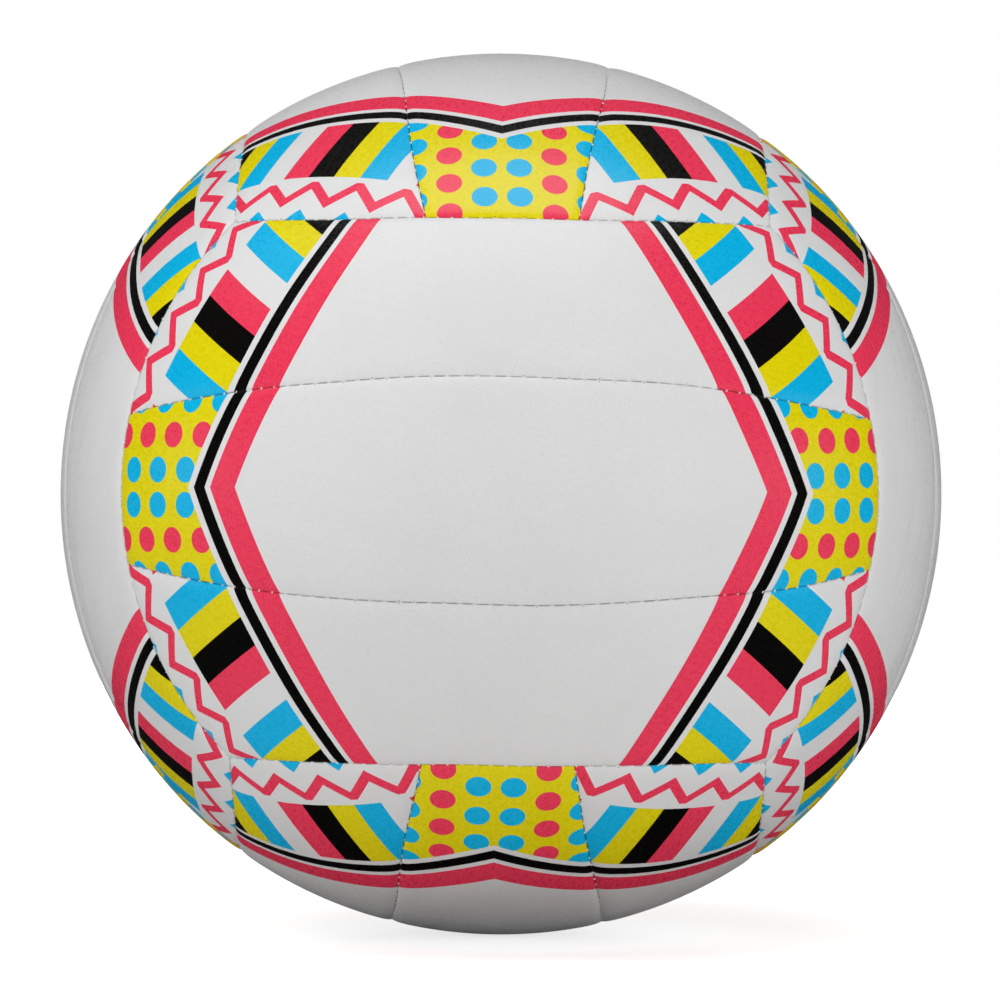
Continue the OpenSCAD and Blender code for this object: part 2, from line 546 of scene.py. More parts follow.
def grid_quads(rows: int, columns: int) -> np.ndarray:
    """Give the quads of a grid, which face the viewer where rows go up and columns go right.

    Args:
        rows: rows of points.
        columns: columns of points.

    Returns:
        The point numbers of each quad.
    """
    grid = np.arange(rows * columns).reshape(rows, columns)
    corners = [grid[:-1, :-1], grid[:-1, 1:], grid[1:, 1:], grid[1:, :-1]]
    return np.stack([corner.ravel() for corner in corners], axis=-1)


def closed_quads(rows: int, columns: int, loops: int) -> np.ndarray:
    """Give the quads of a closed form: an outer grid, loops round its side, and an inner grid.

    Args:
        rows: rows of each grid.
        columns: columns of each grid.
        loops: loops between the rims of the two grids.

    Returns:
        The quads, with their outer sides out.
    """
    size = rows * columns
    rim = rim_order(rows, columns)
    rims = [rim]
    rims += [size + number * len(rim) + np.arange(len(rim)) for number in range(loops)]
    inner_start = size + loops * len(rim)
    rims.append(inner_start + rim)
    quads = [grid_quads(rows, columns)]
    for high, low in zip(rims[:-1], rims[1:]):
        quads.append(np.stack([high, low, np.roll(low, -1), np.roll(high, -1)], axis=-1))
    quads.append(inner_start + grid_quads(rows, columns)[:, ::-1])
    return np.concatenate(quads)


def lay_places(mesh: bpy.types.Mesh, places: np.ndarray) -> None:
    """Store each point's place for the finish.

    Args:
        mesh: the mesh, with its map of places.
        places: each point's place, in millimetres.
    """
    corners = np.zeros(len(mesh.loops), dtype=np.int32)
    mesh.loops.foreach_get("vertex_index", corners)
    mesh.uv_layers[PRINT_MAP].data.foreach_set("uv", places[corners].astype(np.float32).ravel())


def add_mesh(name: str, points: np.ndarray, faces: list[list[int]], places: np.ndarray) -> bpy.types.Object:
    """Make a smooth mesh object.

    Args:
        name: the object's name.
        points: the points in the ball's axes.
        faces: the point numbers of each face.
        places: each point's place for the finish, in millimetres.

    Returns:
        The new object, linked to the scene.
    """
    mesh = bpy.data.meshes.new(name)
    mesh.from_pydata(points.tolist(), [], faces)
    mesh.uv_layers.new(name=PRINT_MAP)
    lay_places(mesh, places)
    mesh.polygons.foreach_set("use_smooth", np.ones(len(mesh.polygons), dtype=bool))
    piece = bpy.data.objects.new(name, mesh)
    bpy.context.scene.collection.objects.link(piece)
    return piece


def rounded(corners: list[tuple[float, float]], radius: float, closed: bool) -> list[tuple[float, float]]:
    """Round the corners of a profile.

    Args:
        corners: the profile's corners.
        radius: how far from a corner its rounding starts, or less where the side is short.
        closed: whether the last corner joins the first.

    Returns:
        The profile's points.
    """
    made: list[tuple[float, float]] = []
    for number, corner in enumerate(corners):
        is_end = not closed and number in (0, len(corners) - 1)
        if is_end:
            made.append(corner)
            continue
        here = Vector(corner)
        sides = [Vector(corners[number - 1]) - here, Vector(corners[(number + 1) % len(corners)]) - here]
        start, stop = (here + side.normalized() * min(radius, side.length * ROUND_SHARE) for side in sides)
        for step in range(ROUND_STEPS + 1):
            share = step / ROUND_STEPS
            point = start.lerp(here, share).lerp(here.lerp(stop, share), share)
            made.append((point.x, point.y))
    return made


def lathe(name: str, profile: list[tuple[float, float]], closed: bool, sides: int = 96) -> bpy.types.Object:
    """Turn a profile round the Y axis.

    Args:
        name: the object's name.
        profile: points of radius and height along +Y, in metres, with the outside on the right hand.
        closed: whether the profile is a ring; if not, its ends lie on the axis.
        sides: the number of sides.

    Returns:
        The new object.
    """
    turns = np.linspace(0, 2 * math.pi, sides, endpoint=False)
    ring = np.stack([np.cos(turns), np.zeros(sides), np.sin(turns)], axis=-1)
    rings = profile if closed else profile[1:-1]
    points = [radius * ring + np.array([0.0, height, 0.0]) for radius, height in rings]
    places = [np.stack([turns * radius, np.full(sides, height)], axis=-1) for radius, height in rings]
    faces: list[list[int]] = []
    count = len(rings)
    for number in range(count if closed else count - 1):
        low = number * sides
        high = (number + 1) % count * sides
        for side in range(sides):
            after = (side + 1) % sides
            faces.append([low + side, high + side, high + after, low + after])
    if not closed:
        for pole, ring_number in ((profile[0], 0), (profile[-1], count - 1)):
            tip = sum(len(made) for made in points)
            points.append(np.array([[0.0, pole[1], 0.0]]))
            places.append(np.array([[0.0, pole[1]]]))
            base = ring_number * sides
            for side in range(sides):
                after = (side + 1) % sides
                pair = [base + side, base + after]
                faces.append([tip, *(pair if ring_number == 0 else pair[::-1])])
    return add_mesh(name, np.concatenate(points), faces, np.concatenate(places) / MM)


def pierce(
    piece: bpy.types.Object,
    radius: float,
    low: float = 50 * MM,
    high: float = 150 * MM,
    crease: float = 45.0,
) -> None:
    """Cut a round hole through a piece along +Y.

    Args:
        piece: the piece to cut.
        radius: the hole's radius.
        low: where the cut starts along +Y.
        high: where the cut ends.
        crease: the angle from which the piece's edges stay sharp, in degrees.
    """
    profile = [(0.0, low), (radius, low), (radius, high), (0.0, high)]
    cutter = lathe("valve_cutter", profile, closed=False, sides=72)
    change = piece.modifiers.new("valve_hole", "BOOLEAN")
    change.operation = "DIFFERENCE"
    change.solver = "EXACT"
    change.object = cutter
    ready = piece.evaluated_get(bpy.context.evaluated_depsgraph_get())
    mesh = bpy.data.meshes.new_from_object(ready)
    old = piece.data
    piece.modifiers.clear()
    piece.data = mesh
    mesh.set_sharp_from_angle(angle=math.radians(crease))
    bpy.data.meshes.remove(old)
    bpy.data.objects.remove(cutter)


# Shader nodes


class NodeSheet:
    """A shader node tree that is filled in by short calls."""

    def __init__(self, tree: bpy.types.NodeTree) -> None:
        """Take the tree to fill in."""
        self.tree = tree

    def add(self, kind: str, **settings: object) -> bpy.types.Node:
        """Add a node.

        Args:
            kind: the node's type.
            settings: the node's properties.

        Returns:
            The new node.
        """
        node = self.tree.nodes.new(kind)
        for name, value in settings.items():
            setattr(node, name, value)
        return node

    def feed(self, socket: bpy.types.NodeSocket, value: object) -> None:
        """Link a socket to another one, or set its value.

        Args:
            socket: the socket to feed.
            value: a socket to link it to, or its value.
        """
        if isinstance(value, bpy.types.NodeSocket):
            self.tree.links.new(value, socket)
        else:
            socket.default_value = value

    def calc(self, operation: str, *values: object) -> bpy.types.NodeSocket:
        """Add a calculation.

        Args:
            operation: the Math node's operation.
            values: its sockets or numbers.

        Returns:
            The result's socket.
        """
        node = self.add("ShaderNodeMath", operation=operation)
        for socket, value in zip(node.inputs, values):
            self.feed(socket, value)
        return node.outputs[0]

    def between(self, value: object, low: object, high: object) -> bpy.types.NodeSocket:
        """Give 1 where a value lies between two others, and 0 elsewhere.

        Args:
            value: the value or its socket.
            low: the lower limit.
            high: the upper limit.

        Returns:
            The mask's socket.
        """
        above = self.calc("GREATER_THAN", value, low)
        below = self.calc("LESS_THAN", value, high)
        return self.calc("MULTIPLY", above, below)

    def fade(self, value: object, start: float, stop: float) -> bpy.types.NodeSocket:
        """Give a smooth change from 0 at start to 1 at stop.

        Args:
            value: the value or its socket.
            start: where the change starts.
            stop: where it is complete.

        Returns:
            The result's socket.
        """
        node = self.add("ShaderNodeMapRange", interpolation_type="SMOOTHSTEP")
        self.feed(node.inputs["Value"], value)
        node.inputs["From Min"].default_value = start
        node.inputs["From Max"].default_value = stop
        return node.outputs["Result"]

    def noise(
        self, spot: object, scale: object, detail: float, dimensions: str = "3D"
    ) -> bpy.types.NodeSocket:
        """Add a noise.

        Args:
            spot: the socket of the places.
            scale: how many patches lie along one unit.
            detail: how many finer layers it has.
            dimensions: whether it changes along two or three axes.

        Returns:
            The socket of a value from 0 to 1.
        """
        node = self.add("ShaderNodeTexNoise", noise_dimensions=dimensions)
        self.feed(node.inputs["Vector"], spot)
        self.feed(node.inputs["Scale"], scale)
        node.inputs["Detail"].default_value = detail
        return node.outputs["Fac"]

    def split(self, vector: object) -> bpy.types.bpy_prop_collection:
        """Give the sockets of a vector's X, Y and Z.

        Args:
            vector: the vector's socket.

        Returns:
            The sockets, by their names.
        """
        node = self.add("ShaderNodeSeparateXYZ")
        self.feed(node.inputs[0], vector)
        return node.outputs

    def tint(self, share: object, first: object, second: object, mode: str = "MIX") -> bpy.types.NodeSocket:
        """Mix two colours.

        Args:
            share: how much of the second colour shows.
            first: the first colour or socket.
            second: the second colour or socket.
            mode: the way of mixing.

        Returns:
            The mixed colour's socket.
        """
        # The Mix node has its colours at 6 and 7, and the mixed colour at 2
        node = self.add("ShaderNodeMix", data_type="RGBA", blend_type=mode)
        self.feed(node.inputs[0], share)
        self.feed(node.inputs[6], first)
        self.feed(node.inputs[7], second)
        return node.outputs[2]

    def bars(self, value: object, colours: list[Colour]) -> bpy.types.NodeSocket:
        """Give one of some colours in turn, as a value goes from 0 to 1.

        Args:
            value: the value's socket.
            colours: the colours, in order.

        Returns:
            The colour's socket.
        """
        node = self.add("ShaderNodeValToRGB")
        node.color_ramp.interpolation = "CONSTANT"
        stops = node.color_ramp.elements
        while len(stops) < len(colours):
            stops.new(0.5)
        for number, colour in enumerate(colours):
            stops[number].position = number / len(colours)
            stops[number].color = colour
        self.feed(node.inputs[0], value)
        return node.outputs[0]


class EffectGroup(NodeSheet):
    """A shader node group that several materials can hold."""

    def __init__(self, name: str, takes: dict[str, SocketKind], gives: dict[str, SocketKind]) -> None:
        """Make the group.

        Args:
            name: the group's name.
            takes: its inputs.
            gives: its outputs.
        """
        super().__init__(bpy.data.node_groups.new(name, "ShaderNodeTree"))
        for label, kind in takes.items():
            self.tree.interface.new_socket(name=label, in_out="INPUT", socket_type=kind.value)
        for label, kind in gives.items():
            self.tree.interface.new_socket(name=label, in_out="OUTPUT", socket_type=kind.value)
        self.source = self.add("NodeGroupInput")
        self.result = self.add("NodeGroupOutput")

    def take(self, label: str) -> bpy.types.NodeSocket:
        """Give an input's socket."""
        return self.source.outputs[label]

    def give(self, label: str, value: object) -> None:
        """Set or link an output."""
        self.feed(self.result.inputs[label], value)


class Surface(NodeSheet):
    """A material with one Principled shader."""

    def __init__(self, name: str) -> None:
        """Make the material.

        Args:
            name: the material's name.
        """
        self.material = bpy.data.materials.new(name)
        self.material.use_nodes = True
        super().__init__(self.material.node_tree)
        self.shader = self.tree.nodes["Principled BSDF"]
        self.spot = self.add("ShaderNodeTexCoord").outputs["Object"]
        self.sheet_spot = self.add("ShaderNodeUVMap", uv_map=PRINT_MAP).outputs["UV"]

    def place(self, effect: EffectGroup, **values: object) -> bpy.types.Node:
        """Put an effect group into the material.

        Args:
            effect: the group.
            values: its inputs.

        Returns:
            The group's node.
        """
        node = self.add("ShaderNodeGroup", node_tree=effect.tree)
        for label, value in values.items():
            self.feed(node.inputs[label], value)
        return node

    def set(self, label: str, value: object) -> None:
        """Set or link one of the shader's sockets."""
        self.feed(self.shader.inputs[label], value)

    def relief(self, height: object, depth: float) -> None:
        """Let a height from 0 to 1 roughen the surface by a real depth.

        Args:
            height: the height's socket.
            depth: the depth, in metres.
        """
        bump = self.add("ShaderNodeBump")
        bump.inputs["Distance"].default_value = depth
        self.feed(bump.inputs["Height"], height)
        self.set("Normal", bump.outputs["Normal"])


@dataclass(frozen=True)
class PrintInks:
    """The inks of the cover's print, and the sizes of its motifs in millimetres."""

    white: Colour = srgb(231, 231, 231)
    pink: Colour = srgb(247, 60, 93)
    yellow: Colour = srgb(236, 221, 2)
    cyan: Colour = srgb(2, 186, 238)
    black: Colour = srgb(10, 9, 8)
    field_half: float = 62.0
    field_slant: float = 0.45
    rim_w: float = 7.0
    line_at: float = 8.6
    line_w: float = 3.2
    fill_at: float = 13.6
    bars_reach: float = 36.0
    white_gap: float = 1.8
    bar_w: float = 7.0
    bar_lean: tuple[float, float] = (0.87, -0.5)
    zigzag_w: float = 3.3
    zigzag_reach: float = 6.0
    dot_step: float = 9.0
    dot_r: float = 2.9
    dot_row_share: float = 0.87
    dark_under: float = 0.3

    def group(self) -> EffectGroup:
        """Make the print of one block: a white six-sided field with lines, bars, zigzags and dots round it.

        Returns:
            A group that gives the colour and the ink's mask.
        """
        value = SocketKind.VALUE
        takes = {"Place": SocketKind.VECTOR, "Row": value}
        sheet = EffectGroup("block_print", takes, {"Colour": SocketKind.COLOUR, "Ink": value})
        place = sheet.split(sheet.take("Place"))
        side = sheet.calc("ABSOLUTE", place["X"])
        rise = sheet.calc("ABSOLUTE", place["Y"])
        outer = sheet.calc("ABSOLUTE", sheet.take("Row"))
        middle = sheet.calc("SUBTRACT", 1.0, outer)
        beyond = sheet.calc("SUBTRACT", side, self.field_half)
        reach = sheet.calc("MULTIPLY_ADD", rise, self.field_slant, beyond)
        fill = sheet.calc("GREATER_THAN", reach, self.fill_at)
        far = sheet.calc("GREATER_THAN", reach, self.bars_reach + self.white_gap)
        bars = sheet.between(reach, self.fill_at, self.bars_reach)
        layers = [
            (sheet.between(reach, 0.0, self.rim_w), self.pink),
            (sheet.between(reach, self.line_at, self.line_at + self.line_w), self.black),
            (sheet.calc("MULTIPLY", outer, bars), self.bar_fill(sheet, side, rise)),
            (sheet.calc("MULTIPLY", outer, far), self.zigzag_fill(sheet, reach, side, rise)),
            (sheet.calc("MULTIPLY", middle, fill), self.dot_fill(sheet, side, rise)),
        ]
        colour: object = self.white
        for mask, paint in layers:
            colour = sheet.tint(mask, colour, paint)
        tone = sheet.add("ShaderNodeSeparateColor", mode="HSV")
        sheet.feed(tone.inputs["Color"], colour)
        _, saturation, brightness = tone.outputs
        dark = sheet.calc("LESS_THAN", brightness, self.dark_under)
        sheet.give("Colour", colour)
        sheet.give("Ink", sheet.calc("MAXIMUM", saturation, dark))
        return sheet

    def bar_fill(self, sheet: NodeSheet, side: object, rise: object) -> bpy.types.NodeSocket:
        """Give slanted bars of five colours.

        Args:
            sheet: the group to fill in.
            side: how far along the block.
            rise: how far across it.

        Returns:
            The colour's socket.
        """
        colours = [self.pink, self.white, self.cyan, self.yellow, self.black]
        up, out = self.bar_lean
        lean = sheet.calc("MULTIPLY_ADD", rise, up, sheet.calc("MULTIPLY", side, out))
        turn = sheet.calc("FRACT", sheet.calc("DIVIDE", lean, len(colours) * self.bar_w))
        return sheet.bars(turn, colours)

    def zigzag_fill(
        self, sheet: NodeSheet, reach: object, side: object, rise: object
    ) -> bpy.types.NodeSocket:
        """Give zigzag lines of two colours on white, which run along the field's slanted side.

        Args:
            sheet: the group to fill in.
            reach: how far beyond the field's side.
            side: how far along the block.
            rise: how far across it.

        Returns:
            The colour's socket.
        """
        colours = [self.pink, self.white, self.white, self.cyan, self.white, self.white]
        slant = math.hypot(1.0, self.field_slant)
        climb = sheet.calc("DIVIDE", rise, slant)
        along = sheet.calc("MULTIPLY_ADD", side, -self.field_slant / slant, climb)
        swing = sheet.calc("PINGPONG", along, self.zigzag_reach)
        wave = sheet.calc("MULTIPLY_ADD", reach, 1 / slant, swing)
        turn = sheet.calc("FRACT", sheet.calc("DIVIDE", wave, len(colours) * self.zigzag_w))
        return sheet.bars(turn, colours)

    def dot_fill(self, sheet: NodeSheet, side: object, rise: object) -> bpy.types.NodeSocket:
        """Give rows of dots in two colours on yellow.

        Args:
            sheet: the group to fill in.
            side: how far along the block.
            rise: how far across it.

        Returns:
            The colour's socket.
        """
        row_h = self.dot_step * self.dot_row_share
        row = sheet.calc("DIVIDE", rise, row_h)
        odd = sheet.calc("MODULO", sheet.calc("FLOOR", row), 2.0)
        across = sheet.calc("DIVIDE", side, self.dot_step)
        across = sheet.calc("MULTIPLY_ADD", odd, 0.5, across)
        x = sheet.calc("MULTIPLY", sheet.calc("SUBTRACT", sheet.calc("FRACT", across), 0.5), self.dot_step)
        y = sheet.calc("MULTIPLY", sheet.calc("SUBTRACT", sheet.calc("FRACT", row), 0.5), row_h)
        square = sheet.calc("ADD", sheet.calc("MULTIPLY", x, x), sheet.calc("MULTIPLY", y, y))
        dot = sheet.calc("LESS_THAN", square, self.dot_r**2)
        return sheet.tint(dot, self.yellow, sheet.tint(odd, self.cyan, self.pink))


@dataclass(frozen=True)
class Effects:
    """The effect groups that the finishes share."""

    mottle: EffectGroup
    pebble: EffectGroup
    weave: EffectGroup
    seam_shade: EffectGroup
    block_print: EffectGroup


@dataclass(frozen=True)
class Mottle:
    """Uneven shade."""

    detail: float = 4.0

    def group(self) -> EffectGroup:
        """Make a group that gives a factor near 1 and the noise behind it.

        Returns:
            The group.
        """
        value = SocketKind.VALUE
        takes = {"Spot": SocketKind.VECTOR, "Scale": value, "Strength": value}
        sheet = EffectGroup("mottle", takes, {"Shade": value, "Noise": value})
        noise = sheet.noise(sheet.take("Spot"), sheet.take("Scale"), self.detail)
        centred = sheet.calc("SUBTRACT", noise, 0.5)
        sheet.give("Shade", sheet.calc("MULTIPLY_ADD", centred, sheet.take("Strength"), 1.0))
        sheet.give("Noise", noise)
        return sheet


@dataclass(frozen=True)
class Pebble:
    """A pebbled grain: small streaky cells with soft creases over them."""

    lean: float = 14.0
    crease_scale: float = 0.3
    crease_detail: float = 2.0
    crease_share: float = 0.9

    def group(self) -> EffectGroup:
        """Make a group that gives the height of the grain and of its creases, from places in millimetres.

        Returns:
            The group.
        """
        value = SocketKind.VALUE
        takes = {"Place": SocketKind.VECTOR, "Step": value, "Stretch": value}
        sheet = EffectGroup("pebble", takes, {"Height": value, "Crease": value})
        lean = sheet.add("ShaderNodeMapping")
        lean.inputs["Rotation"].default_value = (0.0, 0.0, math.radians(self.lean))
        sheet.feed(lean.inputs["Vector"], sheet.take("Place"))
        steps = sheet.add("ShaderNodeCombineXYZ")
        sheet.feed(steps.inputs["X"], sheet.calc("MULTIPLY", sheet.take("Step"), sheet.take("Stretch")))
        sheet.feed(steps.inputs["Y"], sheet.take("Step"))
        steps.inputs["Z"].default_value = 1.0
        spot = sheet.add("ShaderNodeVectorMath", operation="DIVIDE")
        sheet.feed(spot.inputs[0], lean.outputs["Vector"])
        sheet.feed(spot.inputs[1], steps.outputs["Vector"])
        cells = sheet.add("ShaderNodeTexVoronoi", voronoi_dimensions="2D")
        cells.inputs["Scale"].default_value = 1.0
        sheet.feed(cells.inputs["Vector"], spot.outputs["Vector"])
        crease = sheet.noise(spot.outputs["Vector"], self.crease_scale, self.crease_detail, "2D")
        dome = sheet.calc("SUBTRACT", 1.0, cells.outputs["Distance"])
        sheet.give("Height", sheet.calc("MULTIPLY_ADD", crease, self.crease_share, dome))
        sheet.give("Crease", crease)
        return sheet


@dataclass(frozen=True)
class Weave:
    """A plain weave."""

    hole_under: float = 0.4

    def group(self) -> EffectGroup:
        """Make a group that gives the weave's height and the mask of its holes, from places in millimetres.

        Returns:
            The group.
        """
        value = SocketKind.VALUE
        takes = {"Place": SocketKind.VECTOR, "Step": value}
        sheet = EffectGroup("weave", takes, {"Height": value, "Hole": value})
        place = sheet.split(sheet.take("Place"))
        waves = []
        for axis in ("X", "Y"):
            turn = sheet.calc("DIVIDE", place[axis], sheet.take("Step"))
            waves.append(sheet.calc("ABSOLUTE", sheet.calc("SINE", sheet.calc("MULTIPLY", turn, math.pi))))
        height = sheet.calc("MAXIMUM", *waves)
        sheet.give("Height", height)
        sheet.give("Hole", sheet.calc("LESS_THAN", height, self.hole_under))
        return sheet


@dataclass(frozen=True)
class SeamShade:
    """Painted shade at a seam: darker dashes where its lips gape between stitches, and dark needle holes
    beside some stitches.
    """

    noise_scale: float = 260.0
    noise_detail: float = 3.0
    loose: tuple[float, float] = (0.1, 0.24)
    hole_away: float = 0.26
    stitches_per_mm: float = 0.31
    hole_rim: tuple[float, float] = (0.058, 0.036)
    bare_share: float = 0.74

    def group(self) -> EffectGroup:
        """Make a group that gives the masks of both, from millimetres off the seam and stitches along it.

        Returns:
            The group.
        """
        value = SocketKind.VALUE
        takes = {"Spot": SocketKind.VECTOR, "Gap": value, "Reach": value, "Beat": value}
        sheet = EffectGroup("painted_seam_shade", takes, {"Mask": value, "Hole": value})
        gap = sheet.take("Gap")
        beat = sheet.take("Beat")
        noise = sheet.noise(sheet.take("Spot"), self.noise_scale, self.noise_detail)
        # Painted shade: darker dashes near the seam where its lips gape between stitches
        near = sheet.calc("SUBTRACT", 1.0, sheet.calc("DIVIDE", gap, sheet.take("Reach")))
        turn = sheet.calc("SUBTRACT", sheet.calc("FRACT", beat), 0.5)
        loose = sheet.fade(sheet.calc("ABSOLUTE", turn), *self.loose)
        dash = sheet.calc("MULTIPLY", loose, sheet.calc("MAXIMUM", near, 0.0))
        sheet.give("Mask", sheet.calc("MULTIPLY", dash, noise))
        # Painted shade: dark dots for needle holes beside some stitches
        beside = sheet.calc("MULTIPLY", sheet.calc("SUBTRACT", gap, self.hole_away), self.stitches_per_mm)
        square = sheet.calc("MULTIPLY_ADD", turn, turn, sheet.calc("MULTIPLY", beside, beside))
        chance = sheet.add("ShaderNodeTexWhiteNoise", noise_dimensions="1D")
        sheet.feed(chance.inputs["W"], sheet.calc("FLOOR", beat))
        drawn = sheet.calc("GREATER_THAN", chance.outputs["Value"], self.bare_share)
        hole = sheet.fade(sheet.calc("SQRT", square), *self.hole_rim)
        sheet.give("Hole", sheet.calc("MULTIPLY", drawn, hole))
        return sheet


def make_effects() -> Effects:
    """Make the shared effect groups."""
    return Effects(
        Mottle().group(), Pebble().group(), Weave().group(), SeamShade().group(), PrintInks().group()
    )


# Finishes, whose steps and reaches are in millimetres like the stored places


@dataclass(frozen=True)
class LeatherFinish:
    """Printed synthetic leather with a fine pebbled grain and a satin surface."""

    rough: float = 0.38
    specular: float = 0.44
    cloud_scale: float = 55.0
    cloud_shade: float = 0.05
    cloud_rough: float = 0.12
    grain_step: float = 0.3
    grain_stretch: float = 2.0
    grain_share: float = 0.024
    grain_level: float = 0.95
    grain_shade: float = 0.085
    grain_gloss: float = 0.3
    ink_shade: float = -0.2
    ink_gloss: float = 0.04
    fold_step: float = 2.2
    fold_stretch: float = 9.0
    fold_depth: float = 0.24 * MM
    # Painted shade of the seams' gaping lips
    seam_shade: Colour = srgb(70, 64, 60)
    seam_shade_reach: float = 0.3
    seam_shade_share: float = 0.8
    # Painted shade of the needle holes
    hole: Colour = srgb(48, 44, 42)
    hole_shade_share: float = 0.75

    def material(self, effects: Effects, row: Row) -> bpy.types.Material:
        """Make the leather of one row of strips.

        Args:
            effects: the shared effect groups.
            row: the row, on which the print depends.

        Returns:
            The material.
        """
        skin = Surface(f"cover_leather_{row.name.lower()}")
        place = skin.sheet_spot
        art = skin.place(effects.block_print, Place=place, Row=float(row.value)).outputs
        cloud = skin.place(
            effects.mottle, Spot=skin.spot, Scale=self.cloud_scale, Strength=self.cloud_shade
        ).outputs
        grain = skin.place(
            effects.pebble, Place=place, Step=self.grain_step, Stretch=self.grain_stretch
        ).outputs
        fold = skin.place(
            effects.pebble, Place=place, Step=self.fold_step, Stretch=self.fold_stretch
        ).outputs
        gap = skin.add("ShaderNodeAttribute", attribute_name=SEAM_GAP).outputs["Fac"]
        beat = skin.add("ShaderNodeAttribute", attribute_name=SEAM_BEAT).outputs["Fac"]
        seam_shade = skin.place(effects.seam_shade, Spot=skin.spot, Gap=gap, Reach=self.seam_shade_reach, Beat=beat).outputs
        # Partly painted shade: on white the grain's hollows are darker and its peaks lighter; on ink the
        # sign turns, as the ink lies thicker on the peaks
        bloom = skin.calc("SUBTRACT", grain["Height"], self.grain_level)
        contrast = skin.calc("MULTIPLY_ADD", art["Ink"], self.ink_shade, self.grain_shade)
        shade = skin.calc("MULTIPLY_ADD", bloom, contrast, cloud["Shade"])
        shaded = skin.tint(1.0, art["Colour"], shade, "MULTIPLY")
        # Painted shade: darker dashes in the seams' gaping lips
        seam_shaded = skin.tint(skin.calc("MULTIPLY", seam_shade["Mask"], self.seam_shade_share), shaded, self.seam_shade)
        # Painted shade: dark needle holes beside some stitches
        pricked = skin.tint(skin.calc("MULTIPLY", seam_shade["Hole"], self.hole_shade_share), seam_shaded, self.hole)
        skin.set("Base Color", pricked)
        smoothest = self.rough - self.cloud_rough / 2
        rough = skin.calc("MULTIPLY_ADD", cloud["Noise"], self.cloud_rough, smoothest)
        rough = skin.calc("MULTIPLY_ADD", bloom, -self.grain_gloss, rough)
        skin.set("Roughness", skin.calc("MULTIPLY_ADD", art["Ink"], -self.ink_gloss, rough))
        skin.set("Specular IOR Level", self.specular)
        ripple = skin.calc("MULTIPLY_ADD", grain["Height"], self.grain_share, fold["Crease"])
        skin.relief(ripple, self.fold_depth)
        return skin.material


@dataclass(frozen=True)
class Cloud:
    """Soft uneven patches in the shade and the roughness of a finish."""

    scale: float
    shade: float
    rough: float
    rough_gain: float

    def lay(self, surface: Surface, effects: Effects, colour: object) -> None:
        """Give a surface its colour and roughness.

        Args:
            surface: the surface.
            effects: the shared effect groups.
            colour: its colour or a colour's socket.
        """
        patches = surface.place(
            effects.mottle, Spot=surface.spot, Scale=self.scale, Strength=self.shade
        ).outputs
        surface.set("Base Color", surface.tint(1.0, colour, patches["Shade"], "MULTIPLY"))
        rough = surface.calc("MULTIPLY_ADD", patches["Noise"], self.rough_gain, self.rough)
        surface.set("Roughness", rough)


@dataclass(frozen=True)
class ThreadFinish:
    """Twisted white polyester thread."""

    colour: Colour = srgb(236, 234, 229)
    cloud: Cloud = Cloud(900.0, 0.25, 0.5, 0.2)
    sheen: float = 0.2
    ply_step: float = 0.35
    ply_depth: float = 0.03 * MM

    def material(self, effects: Effects) -> bpy.types.Material:
        """Make the thread.

        Args:
            effects: the shared effect groups.

        Returns:
            The material.
        """
        yarn = Surface("seam_thread")
        self.cloud.lay(yarn, effects, self.colour)
        yarn.set("Sheen Weight", self.sheen)
        place = yarn.split(yarn.sheet_spot)
        twist = yarn.calc("DIVIDE", yarn.calc("ADD", place["X"], place["Y"]), self.ply_step)
        wave = yarn.calc("SINE", yarn.calc("MULTIPLY", twist, math.pi))
        yarn.relief(yarn.calc("ABSOLUTE", wave), self.ply_depth)
        return yarn.material


@dataclass(frozen=True)
class FoamFinish:
    """Closed-cell sponge behind the leather."""

    colour: Colour = srgb(222, 214, 190)
    cloud: Cloud = Cloud(90.0, 0.18, 0.85, 0.1)
    cell_step: float = 0.6
    cell_depth: float = 0.12 * MM

    def material(self, effects: Effects) -> bpy.types.Material:
        """Make the sponge.

        Args:
            effects: the shared effect groups.

        Returns:
            The material.
        """
        foam = Surface("sponge_foam")
        self.cloud.lay(foam, effects, self.colour)
        cells = foam.place(effects.pebble, Place=foam.sheet_spot, Step=self.cell_step, Stretch=1.0)
        foam.relief(cells.outputs["Height"], self.cell_depth)
        return foam.material


@dataclass(frozen=True)
class ClothFinish:
    """Plain-woven cotton lining."""

    colour: Colour = srgb(214, 208, 194)
    shadow: Colour = srgb(120, 112, 98)
    cloud: Cloud = Cloud(120.0, 0.2, 0.85, 0.1)
    sheen: float = 0.3
    weave_step: float = 0.8
    weave_depth: float = 0.15 * MM

    def material(self, effects: Effects) -> bpy.types.Material:
        """Make the cloth.

        Args:
            effects: the shared effect groups.

        Returns:
            The material.
        """
        cloth = Surface("lining_cotton")
        weave = cloth.place(effects.weave, Place=cloth.sheet_spot, Step=self.weave_step).outputs
        self.cloud.lay(cloth, effects, cloth.tint(weave["Hole"], self.colour, self.shadow))
        cloth.set("Sheen Weight", self.sheen)
        cloth.relief(weave["Height"], self.weave_depth)
        return cloth.material


